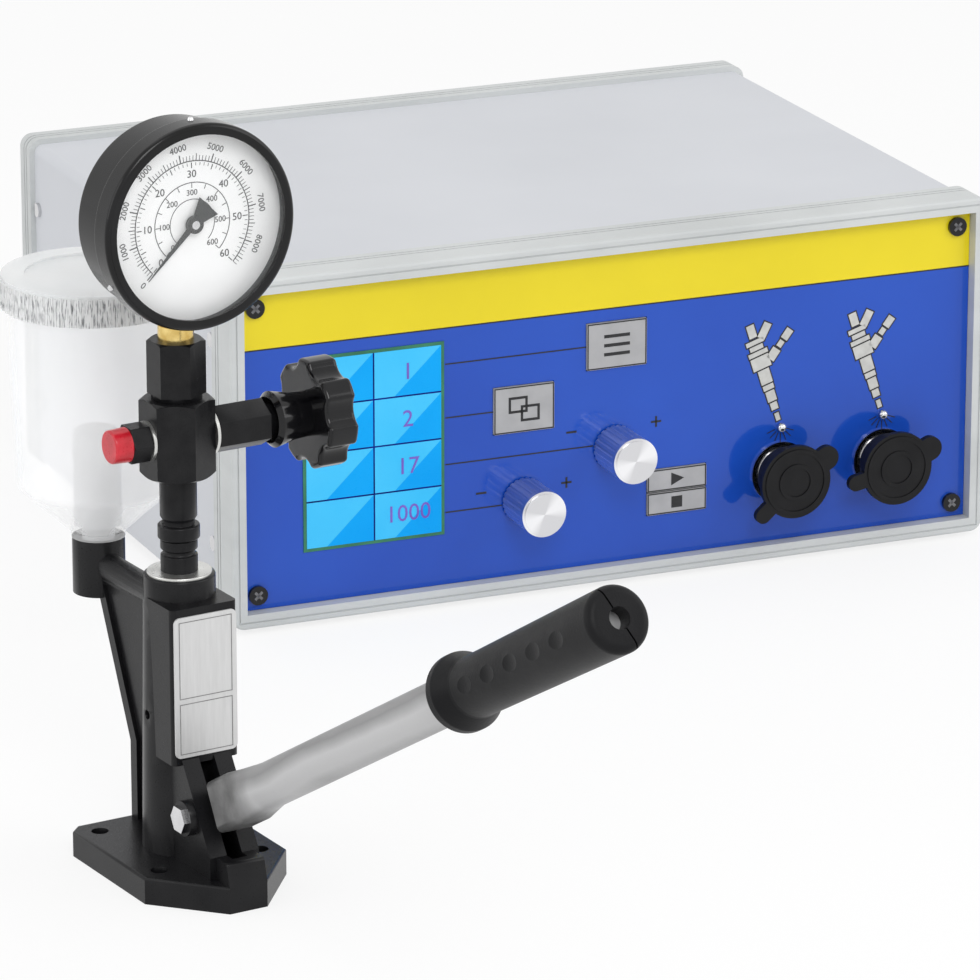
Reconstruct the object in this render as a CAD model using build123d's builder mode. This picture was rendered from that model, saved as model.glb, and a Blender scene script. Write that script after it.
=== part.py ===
from build123d import *
import os
from math import cos, pi, radians, sin, tan

# Diesel injector tester: a hand-lever nozzle pump with its gauge, valve head and fuel tank,
# and the bench case that drives electronic injectors beside it.
# Millimetres. The origin is the pump column's axis on the bench, +Z is up, +X is to the right
# and the lever points to -Y. The case stands behind the pump on the right, turned a little.

os.makedirs("parts", exist_ok=True)

# Shared angles and sides
hex_sides = 6
hex_turn = 30.0
quarter_turn = 90.0

# Shared clearances
cut_over = 1.0
seat_gap = 0.05
running_gap = 0.06
soft_gap = 0.3

# Pump foot plate
foot_half_width = 38.0
foot_rear = 46.0
foot_front = 64.0
foot_side_front = 32.0
foot_rear_cut = 5.0
foot_cut_x = 12.0
foot_cut_y = 2.0
foot_nose_half_width = 10.0
foot_thickness = 13.0
foot_edge_round = 1.2
bolt_spacing_x = 54.0
bolt_front = 26.0
bolt_rear = 34.0
bolt_hole_radius = 4.2

# Pump column
column_radius = 17.5
column_foot_radius = 19.5
column_height = 149.0
head_radius = 17.0
head_height = 10.0
head_round = 4.0
chamber_radius = 12.0
chamber_floor = 22.0
lock_hole_radius = 2.3
lock_hole_height = 81.0

# Front boss that carries the plate
boss_half_width = 17.5
boss_reach = 24.0
boss_low = 62.0
boss_high = 139.0
boss_round = 2.5
plate_width = 33.0
plate_height = 69.5
plate_thickness = 0.8
plate_round = 3.0

# Cheeks, nose and slot for the lever
cheek_gap = 8.0
cheek_thickness = 9.0
cheek_top = 66.0
cheek_top_reach = 23.0
cheek_foot_reach = 50.5
nose_top = 24.0
nose_start = 46.0
nose_front = 61.0
nose_round = 2.0
slot_floor = 18.0
slot_top = 62.0
slot_reach = 56.0
pin_boss_radius = 8.5
pin_boss_reach = 16.5

# Lever, its eye and its pin
pivot_reach = 30.0
pivot_height = 38.0
pin_radius = 4.0
pin_head_radius = 6.8
pin_head_thickness = 2.6
pin_tail = 3.6
clip_radius = 7.6
clip_thickness = 1.2
clip_groove_depth = 0.8
lever_rise = 29.5
lever_swing = 26.0
lever_root_width = 20.0
lever_root_half_height = 12.5
lever_root_start = 20.0
lever_root_end = 40.0
lever_web_thickness = 7.4
lever_eye_radius = 8.5
lever_neck_end = 66.0
lever_root_round = 3.0
lever_bar_radius = 11.0
lever_core_radius = 9.0
lever_shoulder = 263.0
lever_length = 412.0
arm_length = 30.0
arm_half_height = 4.5
arm_tip_radius = 6.0
grip_flange_radius = 18.0
grip_flange_thickness = 6.0
grip_neck_radius = 14.0
grip_neck_length = 10.0
grip_end_radius = 15.2
grip_end_wall = 9.0
grip_hole_radius = 5.0
grip_round = 4.0
grip_flange_round = 2.0
grip_neck_round = 5.0
grip_slit = 0.8
grip_slit_depth = 2.5
grip_slit_turn = 22.0
grip_hollows = 5
grip_hollow_start = 30.0
grip_hollow_pitch = 22.0
grip_hollow_curve = 26.0
grip_hollow_depth = 0.8

# Plunger, tappet, spring and barrel inside the column
button_radius = 4.5
button_length = 8.5
tappet_length = 9.0
plunger_radius = 4.0
plunger_foot_radius = 6.0
plunger_foot_thickness = 2.0
plunger_length = 56.0
spring_wire_radius = 1.1
spring_radius = 8.8
spring_turns = 6
barrel_length = 46.0
barrel_bore_length = 32.0

# Delivery valve holder and ring on top of the column
ring_radius = 15.5
ring_thickness = 1.2
holder_radius = 8.8
holder_waist_radius = 7.6
holder_collar_radius = 10.0
holder_plug_length = 11.0
holder_foot_length = 9.0
holder_waist_length = 3.0
holder_band_length = 5.0
holder_collar_length = 7.0
holder_groove_length = 2.0
holder_spigot_radius = 7.0
holder_spigot_length = 10.0
fuel_bore_radius = 1.6

# Valve block
block_flats = 31.0
block_low = 197.0
block_height = 37.5
block_turn_angle = 30.0
port_drop = 18.8
gallery_radius = 2.2
valve_port_radius = 8.0
valve_port_depth = 9.0
outlet_port_radius = 5.0
outlet_port_depth = 8.0
adapter_port_radius = 8.0
adapter_port_depth = 8.0

# Outlet union and its cap
washer_thickness = 1.5
outlet_washer_radius = 9.6
outlet_hex_flats = 17.0
outlet_hex_length = 10.0
outlet_thread_radius = 7.0
outlet_thread_length = 7.5
outlet_bore_radius = 2.5
cap_wall = 0.9
cap_end = 1.4
cap_flare = 0.4
cap_round = 1.0

# Shut-off valve: bonnet, spindle and handwheel
bonnet_washer_radius = 11.6
bonnet_flats = 20.0
bonnet_length = 28.0
gland_radius = 8.0
gland_length = 5.0
spindle_radius = 4.0
spindle_tip_length = 4.0
spindle_tip_radius = 1.0
wheel_gap = 3.0
wheel_hub_radius = 13.5
wheel_hub_length = 12.0
wheel_waist_radius = 10.8
wheel_waist_length = 7.0
wheel_recess_radius = 11.0
wheel_recess_depth = 5.0
wheel_radius = 26.5
wheel_thickness = 16.0
wheel_lobes = 7
wheel_scallop_radius = 9.0
wheel_scallop_centre = 31.5
wheel_round = 2.2
wheel_screw_radius = 4.6
wheel_screw_head = 2.6
wheel_screw_shank = 2.4
wheel_screw_length = 8.0
spindle_end_margin = 1.0

# Gauge adapter and stem
adapter_flats = 24.0
adapter_length = 28.5
adapter_collar = 2.4
adapter_bore_radius = 6.0
adapter_bore_depth = 15.0
stem_collar_radius = 8.5
stem_collar_length = 7.0
stem_flats = 12.5
stem_reach = 8.0

# Gauge
gauge_height = 322.5
gauge_back = 8.5
gauge_drum_radius = 46.0
gauge_drum_front = 17.0
gauge_rim_lap = 3.0
gauge_wall = 2.5
gauge_rim_radius = 49.0
gauge_front = 27.0
gauge_lip_radius = 43.8
gauge_lip_thickness = 2.0
gauge_round = 2.4
glass_thickness = 2.0
dial_thickness = 0.8
arbor_radius = 1.2
pointer_hub_radius = 4.2
pointer_hub_thickness = 2.0
pointer_length = 34.0
pointer_tail = 11.0
pointer_width = 3.0
pointer_tail_width = 13.0
pointer_thickness = 0.8
pointer_gap = 1.4
pointer_zero = 135.0
movement_width = 26.0
movement_height = 20.0
movement_depth = 8.0
bourdon_radius = 30.0
bourdon_thickness = 3.0
bourdon_width = 9.0
bourdon_sweep = 250.0

# Fuel tank, bracket and filter
tank_reach = 82.0
socket_radius = 12.75
socket_low = 116.0
socket_high = 144.0
socket_bore_radius = 10.5
socket_bore_depth = 19.0
arm_tube_radius = 6.5
arm_tube_drop = 13.0
fuel_channel_radius = 2.0
web_thickness = 5.0
web_rim_thickness = 9.0
web_rim_width = 6.0
web_foot_reach = 44.0
web_bend_height = 52.0
tank_neck_radius = 13.2
tank_neck_height = 3.0
tank_cone_height = 23.0
tank_low_radius = 38.5
tank_top_radius = 42.5
tank_body_height = 104.0
tank_wall = 1.8
tank_corner_round = 6.0
tank_spigot_length = 16.0
tank_outlet_radius = 8.0
lid_wall = 1.2
lid_skirt = 14.0
lid_ribs = 60
lid_rib_height = 0.7
lid_rib_width = 1.6
lid_disc_radius = 34.0
lid_disc_drop = 1.2
filter_radius = 11.5
filter_wall = 1.6
filter_height = 48.0
filter_stand = 3.0
filter_spigot_length = 8.0
filter_round = 4.0

# Bench case: shell
case_left = 180.5
case_front = 280.0
case_turn = -8.0
feet_height = 3.0
case_width = 440.0
case_depth = 332.0
case_height = 190.0
bezel_depth = 27.0
rear_bezel_depth = 17.0
bezel_corner = 7.0
bezel_edge_round = 1.6
bezel_border = 8.2
bezel_border_tall = 8.1
bezel_ledge = 11.0
bezel_groove_back = 5.2
bezel_groove_pitch = 3.6
bezel_groove_width = 1.1
bezel_groove_depth = 0.8
bezel_line_inset = 3.4
bezel_line_width = 0.9
bezel_line_depth = 0.6
panel_recess = 7.0
panel_thickness = 2.0
panel_slack = 0.2
cover_inset = 3.0
cover_wall = 1.6
cover_corner = 5.0
floor_wall = 1.6
floor_lift = 3.0
floor_lip = 14.0
foot_pad_radius = 8.0
foot_pad_chamfer = 1.0
foot_pad_inset_x = 50.0
foot_pad_inset_y = 60.0
screw_inset_x = 8.2
screw_inset_z = 8.4
screw_head_radius = 5.2
screw_head_height = 2.2
screw_shank_radius = 2.0
screw_length = 9.0
side_screw_radius = 4.0
side_screw_head = 1.8
side_screw_shank = 1.6
side_screw_length = 4.0
side_screw_inset = 6.0
side_screw_low = 39.0
side_screw_high_share = 0.79474
side_tab_length = 12.0
side_tab_height = 16.0
side_tab_thickness = 3.0

# Front panel furniture: x as a share of the case's width, z as a share of its height
display_x_share = 0.18795
display_z_share = 0.47368
display_width = 77.6
display_height_share = 0.54895
display_rim = 1.3
display_proud = 0.5
display_thickness = 6.0
display_plate = 4.0
key_width = 34.8
key_height = 25.8
key_slack = 0.3
key_proud = 1.0
key_travel = 0.6
key_round = 0.8
key_flange = 1.6
key_flange_thickness = 1.2
key_plate_gap = 0.3
menu_key_x_share = 0.505
menu_key_z_share = 0.68579
mode_key_x_share = 0.38295
mode_key_z_share = 0.53158
start_key_x_share = 0.58636
start_key_z_share = 0.26842
start_key_height_share = 0.06526
stop_key_z_share = 0.19947
key_board_thickness = 1.6
key_board_margin = 6.5
key_post_radius = 2.5
post_end_gap = 0.1
pulse_knob_x_share = 0.38318
pulse_knob_z_share = 0.26316
rate_knob_x_share = 0.50341
rate_knob_z_share = 0.38368
knob_radius = 12.6
knob_length = 26.8
knob_gap = 1.2
knob_flutes = 24
knob_flute_radius = 1.0
knob_band_length = 3.0
knob_face_round = 0.8
knob_face_radius = 11.2
knob_bore_depth = 15.0
pot_shaft_radius = 3.0
pot_shaft_length = 15.0
pot_bush_radius = 3.6
pot_body_radius = 8.0
pot_body_depth = 9.0
socket_x_share = 0.72614
socket_pitch_share = 0.13864
socket_z_share = 0.24737
shell_radius = 13.5
shell_length = 18.0
shell_wall = 1.8
shell_flange_radius = 17.0
shell_flange_thickness = 1.6
shell_thread_radius = 10.5
shell_back_length = 12.0
contact_radius = 0.8
contact_count = 4
contact_circle = 4.5
contact_length = 8.0
insert_depth = 5.0
rubber_wall = 2.0
rubber_disc_radius = 20.3
rubber_disc_thickness = 3.4
rubber_ring_step = 0.6
rubber_cup_length = 12.0
rubber_tab_reach = 25.5
rubber_tab_radius = 4.4
rubber_ear_reach = 21.5
rubber_ear_radius = 6.8
left_tab_angle = 221.0
left_ear_angle = 32.0
right_tab_angle = 192.0
right_ear_angle = 25.0

# Inside the case and its rear panel
standoff_radius = 3.0
standoff_height = 8.0
standoff_inset = 6.0
board_thickness = 1.6
board_width = 150.0
board_depth = 110.0
board_x_share = 0.27273
board_y = 110.0
chip_width = 22.0
chip_depth = 22.0
chip_height = 4.0
chip_shift = 37.5
supply_width = 98.0
supply_depth = 160.0
supply_height = 40.0
supply_x_share = 0.72727
supply_y = 130.0
inlet_x_share = 0.84091
inlet_z_share = 0.31579
inlet_width = 48.0
inlet_height = 28.0
inlet_flange = 2.5
inlet_body_depth = 24.0
inlet_mouth_width = 24.0
inlet_mouth_height = 16.0
inlet_mouth_depth = 16.0
inlet_pin_width = 2.0
inlet_pin_height = 4.0
inlet_pin_length = 12.0
inlet_pin_pitch = 7.0
inlet_pin_count = 3
switch_x_share = 0.70455
switch_width = 21.0
switch_height = 15.0
switch_frame_border = 2.5
switch_body_depth = 16.0
rocker_half_width = 8.1
rocker_sink = 6.0
rocker_slack = 0.3
rocker_pin_radius = 1.2
rocker_pin_reach = 0.9
panel_hole_slack = 0.2


# Derived places of the pump
pivot = Vector(0, -pivot_reach, pivot_height)
lever_way = Vector(0, -cos(radians(lever_rise)), sin(radians(lever_rise)))
arm_way = Vector(0, cos(radians(lever_swing / 2)), -sin(radians(lever_swing / 2)))
tip_height = pivot_height - arm_length * sin(radians(lever_swing / 2)) + arm_tip_radius
tappet_low = tip_height + soft_gap
tappet_top = tappet_low + button_length + tappet_length
port_height = block_low + block_height - port_drop
block_high = block_low + block_height
block_face = block_flats / 2
adapter_top = block_high + adapter_length
tank_shoulder = socket_high + tank_neck_height + tank_cone_height
tank_top = tank_shoulder + tank_body_height


def lever_section(distance):
    """Plane square to the lever, at a distance from its pivot."""
    return Plane(origin=pivot + lever_way * distance, x_dir=(1, 0, 0), z_dir=lever_way)


def port_section(x):
    """Plane square to the X axis on the height of the valve block's ports."""
    return Plane(origin=(x, 0, port_height), x_dir=(0, 1, 0), z_dir=(1, 0, 0))


def dial_section(reach):
    """Plane facing the operator on the gauge's axis, at a reach in front of the column axis."""
    return Plane(origin=(0, -reach, gauge_height), x_dir=(1, 0, 0), z_dir=(0, -1, 0))


lever_side = Plane(origin=pivot, x_dir=lever_way, z_dir=(-1, 0, 0))
arm_side = Plane(origin=pivot, x_dir=arm_way, z_dir=(1, 0, 0))
port_axis = Axis((0, 0, port_height), (1, 0, 0))
lever_axis = Axis(pivot, lever_way)
tank_axis = Axis((0, tank_reach, 0), (0, 0, 1))
tank_side = Plane(origin=(0, tank_reach, 0), x_dir=(1, 0, 0), z_dir=(0, -1, 0))

# Derived places of the case
case_frame = Plane(
    origin=(case_left, case_front, feet_height),
    x_dir=(cos(radians(case_turn)), sin(radians(case_turn)), 0),
    z_dir=(0, 0, 1),
)
panel_back = panel_recess + panel_thickness
rear_panel_back = case_depth - panel_recess
cover_front = bezel_depth
cover_rear = case_depth - rear_bezel_depth
cover_depth = cover_rear - cover_front
floor_top = floor_lift + floor_wall
board_level = floor_top + standoff_height
side_screw_high = side_screw_high_share * case_height
display_x = display_x_share * case_width
display_z = display_z_share * case_height
display_height = display_height_share * case_height
menu_key_x = menu_key_x_share * case_width
menu_key_z = menu_key_z_share * case_height
mode_key_x = mode_key_x_share * case_width
mode_key_z = mode_key_z_share * case_height
start_key_x = start_key_x_share * case_width
start_key_z = start_key_z_share * case_height
start_key_height = start_key_height_share * case_height
stop_key_z = stop_key_z_share * case_height
pulse_knob_x = pulse_knob_x_share * case_width
pulse_knob_z = pulse_knob_z_share * case_height
rate_knob_x = rate_knob_x_share * case_width
rate_knob_z = rate_knob_z_share * case_height
socket_x = socket_x_share * case_width
socket_pitch = socket_pitch_share * case_width
socket_z = socket_z_share * case_height
board_x = board_x_share * case_width
supply_x = supply_x_share * case_width
inlet_x = inlet_x_share * case_width
inlet_z = inlet_z_share * case_height
switch_x = switch_x_share * case_width


def case_level(z):
    """Level plane in the case, seen from above, z above the case's lower edge."""
    origin = case_frame.from_local_coords(Vector(0, 0, z))
    return Plane(origin=origin, x_dir=case_frame.x_dir, z_dir=case_frame.z_dir)


def case_front_plane(y):
    """Upright plane in the case, seen from the front, y behind the front edge."""
    origin = case_frame.from_local_coords(Vector(0, y, 0))
    return Plane(origin=origin, x_dir=case_frame.x_dir, z_dir=-case_frame.y_dir)


def case_rear_plane(y):
    """The same place seen from the rear: x still counts from the case's left edge, mirrored."""
    origin = case_frame.from_local_coords(Vector(0, y, 0))
    return Plane(origin=origin, x_dir=-case_frame.x_dir, z_dir=case_frame.y_dir)


def case_side_plane(x):
    """Upright plane across the case, its normal to the right, x from the left edge."""
    origin = case_frame.from_local_coords(Vector(x, 0, 0))
    return Plane(origin=origin, x_dir=case_frame.y_dir, z_dir=case_frame.x_dir)


# Pump stand: foot, column, boss, cheeks, bracket and tank socket in one casting
with BuildPart() as pump_stand:
    with BuildSketch() as foot_outline:
        with BuildLine():
            Polyline(
                (-foot_half_width, -foot_side_front),
                (-foot_half_width, foot_rear - foot_rear_cut),
                (-foot_half_width + foot_rear_cut, foot_rear),
                (foot_cut_x, foot_rear),
                (foot_half_width, foot_cut_y),
                (foot_half_width, -foot_side_front),
                (foot_nose_half_width, -foot_front),
                (-foot_nose_half_width, -foot_front),
                close=True,
            )
        make_face()
    extrude(amount=foot_thickness)
    fillet(pump_stand.faces().sort_by(Axis.Z)[-1].edges(), radius=foot_edge_round)

    shoulder_height = column_height - head_height
    with BuildSketch(Plane.XZ):
        with BuildLine():
            Polyline(
                (0, foot_thickness / 2),
                (column_foot_radius, foot_thickness / 2),
                (column_foot_radius, foot_thickness),
                (column_radius, shoulder_height - head_round),
                (head_radius, shoulder_height),
                (head_radius, column_height),
                (0, column_height),
                close=True,
            )
        make_face()
    revolve(axis=Axis.Z)
    fillet(pump_stand.faces().sort_by(Axis.Z)[-1].edges(), radius=foot_edge_round)

    with BuildSketch(Plane.XY.offset(boss_low)) as boss_outline:
        Rectangle(2 * boss_half_width, boss_reach, align=(Align.CENTER, Align.MAX))
        fillet(boss_outline.vertices().group_by(Axis.Y)[0], radius=boss_round)
    extrude(amount=boss_high - boss_low)

    for side in (-1, 1):
        with BuildSketch(Plane.YZ.offset(side * (cheek_gap + cheek_thickness) / 2)):
            with BuildLine():
                Polyline(
                    (-column_radius / 2, foot_thickness / 2),
                    (-column_radius / 2, cheek_top),
                    (-cheek_top_reach, cheek_top),
                    (-cheek_foot_reach, nose_top),
                    (-cheek_foot_reach, foot_thickness / 2),
                    close=True,
                )
            make_face()
        extrude(amount=cheek_thickness / 2, both=True)
    with BuildSketch(Plane.YZ):
        with Locations((-pivot_reach, pivot_height)):
            Circle(pin_boss_radius)
    extrude(amount=pin_boss_reach, both=True)
    with BuildSketch(Plane.YZ) as nose_outline:
        with BuildLine():
            Polyline(
                (-nose_start, foot_thickness / 2),
                (-nose_start, nose_top),
                (-nose_front, nose_top),
                (-foot_front, foot_thickness),
                (-foot_front, foot_thickness / 2),
                close=True,
            )
        make_face()
        nose_corner = nose_outline.vertices().group_by(Axis.Y)[-1].sort_by(Axis.X)[0]
        fillet(nose_corner, radius=nose_round)
    extrude(amount=foot_nose_half_width, both=True)

    # Bracket web with a thicker rim, the round arm and the tank's socket
    arm_level = socket_high - arm_tube_drop
    web_points = (
        (column_radius / 2, foot_thickness / 2),
        (web_foot_reach, foot_thickness / 2),
        (web_foot_reach, web_bend_height),
        (tank_reach - web_rim_width, socket_low + web_rim_width),
        (tank_reach - web_rim_width, arm_level),
        (column_radius / 2, arm_level),
    )
    with BuildSketch(Plane.YZ):
        with BuildLine():
            Polyline(*web_points, close=True)
        make_face()
    extrude(amount=web_thickness / 2, both=True)
    with BuildSketch(Plane.YZ):
        with BuildLine():
            Polyline(*web_points, close=True)
        make_face()
        offset(amount=-web_rim_width, kind=Kind.INTERSECTION, mode=Mode.SUBTRACT)
    extrude(amount=web_rim_thickness / 2, both=True)
    with BuildSketch(Plane.XZ.offset(-tank_reach)):
        with Locations((0, arm_level)):
            Circle(arm_tube_radius)
    extrude(amount=tank_reach)
    with BuildSketch(Plane.XY.offset(socket_low)):
        with Locations((0, tank_reach)):
            Circle(socket_radius)
    extrude(amount=socket_high - socket_low)

    # Bores: chamber, fuel channel, tank seat, lever slot, pin, lock screw and bolt holes
    with BuildSketch(Plane.XY.offset(chamber_floor)):
        Circle(chamber_radius)
    extrude(amount=column_height - chamber_floor, mode=Mode.SUBTRACT)
    with BuildSketch(Plane.XZ.offset(-tank_reach)):
        with Locations((0, arm_level)):
            Circle(fuel_channel_radius)
    extrude(amount=tank_reach, mode=Mode.SUBTRACT)
    with BuildSketch(Plane.XY.offset(socket_high - socket_bore_depth)):
        with Locations((0, tank_reach)):
            Circle(socket_bore_radius)
    extrude(amount=socket_bore_depth, mode=Mode.SUBTRACT)
    with BuildSketch(Plane.XY.offset(slot_floor)):
        Rectangle(cheek_gap, slot_reach, align=(Align.CENTER, Align.MAX))
    extrude(amount=slot_top - slot_floor, mode=Mode.SUBTRACT)
    with BuildSketch(Plane.YZ):
        with Locations((-pivot_reach, pivot_height)):
            Circle(pin_radius + seat_gap)
    extrude(amount=pin_boss_reach + cut_over, both=True, mode=Mode.SUBTRACT)
    with BuildSketch(Plane.YZ.offset(-column_foot_radius)):
        with Locations((0, lock_hole_height)):
            Circle(lock_hole_radius)
    extrude(amount=column_foot_radius, mode=Mode.SUBTRACT)
    with BuildSketch():
        with Locations(
            (-bolt_spacing_x / 2, -bolt_front),
            (bolt_spacing_x / 2, -bolt_front),
            (-bolt_spacing_x / 2, bolt_rear),
        ):
            Circle(bolt_hole_radius)
    extrude(amount=foot_thickness, mode=Mode.SUBTRACT)

with BuildPart() as name_plate:
    with BuildSketch(Plane.XZ.offset(boss_reach)):
        with Locations((0, (boss_low + boss_high) / 2)):
            RectangleRounded(plate_width, plate_height, plate_round)
    extrude(amount=plate_thickness)

# Lever: eye, short arm with its rounded tip, root block, neck and bar
with BuildPart() as lever:
    with BuildSketch(lever_side):
        Circle(lever_eye_radius)
        Rectangle(lever_root_start, 2 * lever_eye_radius, align=(Align.MIN, Align.CENTER))
    extrude(amount=lever_web_thickness / 2, both=True)
    with BuildSketch(arm_side):
        Rectangle(arm_length, 2 * arm_half_height, align=(Align.MIN, Align.CENTER))
        with Locations((arm_length, 0)):
            Circle(arm_tip_radius)
    extrude(amount=lever_web_thickness / 2, both=True)
    with BuildSketch(lever_section(lever_root_start)):
        RectangleRounded(lever_root_width, 2 * lever_root_half_height, lever_root_round)
    extrude(amount=lever_root_end - lever_root_start)
    with BuildSketch(lever_section(lever_root_end)):
        RectangleRounded(lever_root_width, 2 * lever_root_half_height, lever_root_round)
    with BuildSketch(lever_section(lever_neck_end)):
        Circle(lever_bar_radius)
    loft()
    with BuildSketch(lever_section(lever_neck_end)):
        Circle(lever_bar_radius)
    extrude(amount=lever_shoulder - lever_neck_end)
    with BuildSketch(lever_section(lever_shoulder)):
        Circle(lever_core_radius)
    extrude(amount=lever_length - grip_end_wall - lever_shoulder)
    with BuildSketch(lever_side):
        Circle(pin_radius + running_gap)
    extrude(amount=lever_root_width, both=True, mode=Mode.SUBTRACT)

with BuildPart() as lever_grip:
    grip_start = lever_shoulder
    grip_core = lever_core_radius + seat_gap
    with BuildSketch(lever_side) as grip_profile:
        with BuildLine():
            Polyline(
                (grip_start, grip_core),
                (grip_start, grip_flange_radius),
                (grip_start + grip_flange_thickness, grip_flange_radius),
                (grip_start + grip_flange_thickness + grip_neck_length, grip_neck_radius),
                (lever_length, grip_end_radius),
                (lever_length, 0),
                (lever_length - grip_end_wall, 0),
                (lever_length - grip_end_wall, grip_core),
                close=True,
            )
        make_face()
    revolve(axis=lever_axis)
    grip_rings = lever_grip.edges().filter_by(GeomType.CIRCLE).sort_by(lever_axis)
    fillet(grip_rings[-1], radius=grip_round)
    flange_edges = lever_grip.edges().filter_by(GeomType.CIRCLE).filter_by(
        lambda ring: abs(ring.radius - grip_flange_radius) < seat_gap
    )
    fillet(flange_edges, radius=grip_flange_round)
    neck_edge = lever_grip.edges().filter_by(GeomType.CIRCLE).filter_by(
        lambda ring: abs(ring.radius - grip_neck_radius) < seat_gap
    )
    fillet(neck_edge, radius=grip_neck_round)
    with BuildSketch(lever_section(lever_length)):
        Circle(grip_hole_radius)
    extrude(amount=-grip_end_wall, mode=Mode.SUBTRACT)
    with BuildSketch(lever_section(lever_length)):
        Rectangle(grip_slit, 2 * grip_end_radius, rotation=grip_slit_turn)
    extrude(amount=-grip_slit_depth, mode=Mode.SUBTRACT)
    # Shallow finger hollows along both flanks, cut as dishes of a large sphere
    neck_end = grip_start + grip_flange_thickness + grip_neck_length
    grip_taper = (grip_end_radius - grip_neck_radius) / (lever_length - neck_end)
    for i in range(grip_hollows):
        hollow_place = grip_start + grip_hollow_start + i * grip_hollow_pitch
        flank = grip_neck_radius + (hollow_place - neck_end) * grip_taper
        hollow_reach = flank + grip_hollow_curve - grip_hollow_depth
        for side in (-1, 1):
            with Locations(pivot + lever_way * hollow_place + Vector(side * hollow_reach, 0, 0)):
                Sphere(grip_hollow_curve, mode=Mode.SUBTRACT)

with BuildPart() as pivot_pin:
    with BuildSketch(Plane.YZ.offset(-pin_boss_reach - pin_head_thickness)):
        with Locations((-pivot_reach, pivot_height)):
            RegularPolygon(pin_head_radius, hex_sides)
    extrude(amount=pin_head_thickness)
    with BuildSketch(Plane.YZ.offset(-pin_boss_reach)):
        with Locations((-pivot_reach, pivot_height)):
            Circle(pin_radius)
    extrude(amount=2 * pin_boss_reach + pin_tail)
    with BuildSketch(Plane.YZ.offset(pin_boss_reach)):
        with Locations((-pivot_reach, pivot_height)):
            Circle(pin_radius + cut_over)
            Circle(pin_radius - clip_groove_depth, mode=Mode.SUBTRACT)
    extrude(amount=clip_thickness, mode=Mode.SUBTRACT)

with BuildPart() as pin_clip:
    with BuildSketch(Plane.YZ.offset(pin_boss_reach)):
        with Locations((-pivot_reach, pivot_height)):
            Circle(clip_radius)
            Circle(pin_radius - clip_groove_depth + seat_gap, mode=Mode.SUBTRACT)
        with Locations((-pivot_reach, pivot_height - clip_radius)):
            Rectangle(pin_radius, 2 * clip_radius, mode=Mode.SUBTRACT)
    extrude(amount=clip_thickness)

# Tappet, plunger, spring and barrel
with BuildPart() as tappet:
    with BuildSketch(Plane.XY.offset(tappet_low)):
        Circle(button_radius)
    extrude(amount=button_length)
    with BuildSketch(Plane.XY.offset(tappet_low + button_length)):
        Circle(chamber_radius - running_gap)
    extrude(amount=tappet_length)
    with BuildSketch(Plane.XY.offset(tappet_top - plunger_foot_thickness)):
        Circle(plunger_foot_radius + seat_gap)
    extrude(amount=plunger_foot_thickness, mode=Mode.SUBTRACT)

with BuildPart() as plunger:
    plunger_low = tappet_top - plunger_foot_thickness
    with BuildSketch(Plane.XY.offset(plunger_low)):
        Circle(plunger_foot_radius)
    extrude(amount=plunger_foot_thickness)
    with BuildSketch(Plane.XY.offset(tappet_top)):
        Circle(plunger_radius)
    extrude(amount=plunger_length - plunger_foot_thickness)

barrel_top = column_height - holder_plug_length
barrel_low = barrel_top - barrel_length
with BuildPart() as pump_barrel:
    with BuildSketch(Plane.XY.offset(barrel_low)):
        Circle(chamber_radius - seat_gap)
    extrude(amount=barrel_length)
    with BuildSketch(Plane.XY.offset(barrel_low)):
        Circle(plunger_radius + running_gap)
    extrude(amount=barrel_bore_length, mode=Mode.SUBTRACT)
    with BuildSketch(Plane.XY.offset(barrel_low)):
        Circle(fuel_bore_radius)
    extrude(amount=barrel_length, mode=Mode.SUBTRACT)

spring_low = tappet_top + seat_gap
spring_high = barrel_low - seat_gap
spring_rise = spring_high - spring_low - 2 * spring_wire_radius
with BuildPart() as return_spring:
    with BuildLine(Plane.XY.offset(spring_low + spring_wire_radius)) as spring_path:
        Helix(pitch=spring_rise / spring_turns, height=spring_rise, radius=spring_radius)
    with BuildSketch(Plane(origin=spring_path.line @ 0, z_dir=spring_path.line % 0)):
        Circle(spring_wire_radius)
    sweep(is_frenet=True)

# Ring and delivery valve holder on the column
with BuildPart() as column_ring:
    with BuildSketch(Plane.XY.offset(column_height)):
        Circle(ring_radius)
        Circle(holder_radius + seat_gap, mode=Mode.SUBTRACT)
    extrude(amount=ring_thickness)
    fillet(column_ring.faces().sort_by(Axis.Z)[-1].edges().sort_by(SortBy.LENGTH)[-1], ring_thickness / 2)

with BuildPart() as delivery_holder:
    band_low = column_height + holder_foot_length
    band_high = band_low + holder_waist_length + holder_band_length
    collar_high = band_high + holder_collar_length
    neck_high = collar_high + holder_groove_length
    holder_sag = (holder_radius - holder_waist_radius) / 2
    with BuildSketch(Plane.XZ):
        with BuildLine():
            Polyline(
                (fuel_bore_radius, barrel_top),
                (chamber_radius - seat_gap, barrel_top),
                (chamber_radius - seat_gap, column_height),
                (holder_radius, column_height),
                (holder_radius, band_low),
            )
            ThreePointArc(
                (holder_radius, band_low),
                (holder_waist_radius, band_low + holder_waist_length / 2),
                (holder_radius, band_low + holder_waist_length),
            )
            Polyline(
                (holder_radius, band_low + holder_waist_length),
                (holder_radius, band_high - holder_sag),
                (holder_waist_radius, band_high),
                (holder_collar_radius - holder_sag, band_high),
                (holder_collar_radius, band_high + holder_sag),
                (holder_collar_radius, collar_high - holder_sag),
                (holder_collar_radius - holder_sag, collar_high),
                (holder_waist_radius, collar_high),
                (holder_waist_radius, neck_high),
                (holder_radius, neck_high + holder_groove_length),
                (holder_radius, block_low),
                (holder_spigot_radius, block_low),
                (holder_spigot_radius, block_low + holder_spigot_length),
                (fuel_bore_radius, block_low + holder_spigot_length),
                (fuel_bore_radius, barrel_top),
            )
        make_face()
    revolve(axis=Axis.Z)

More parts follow.
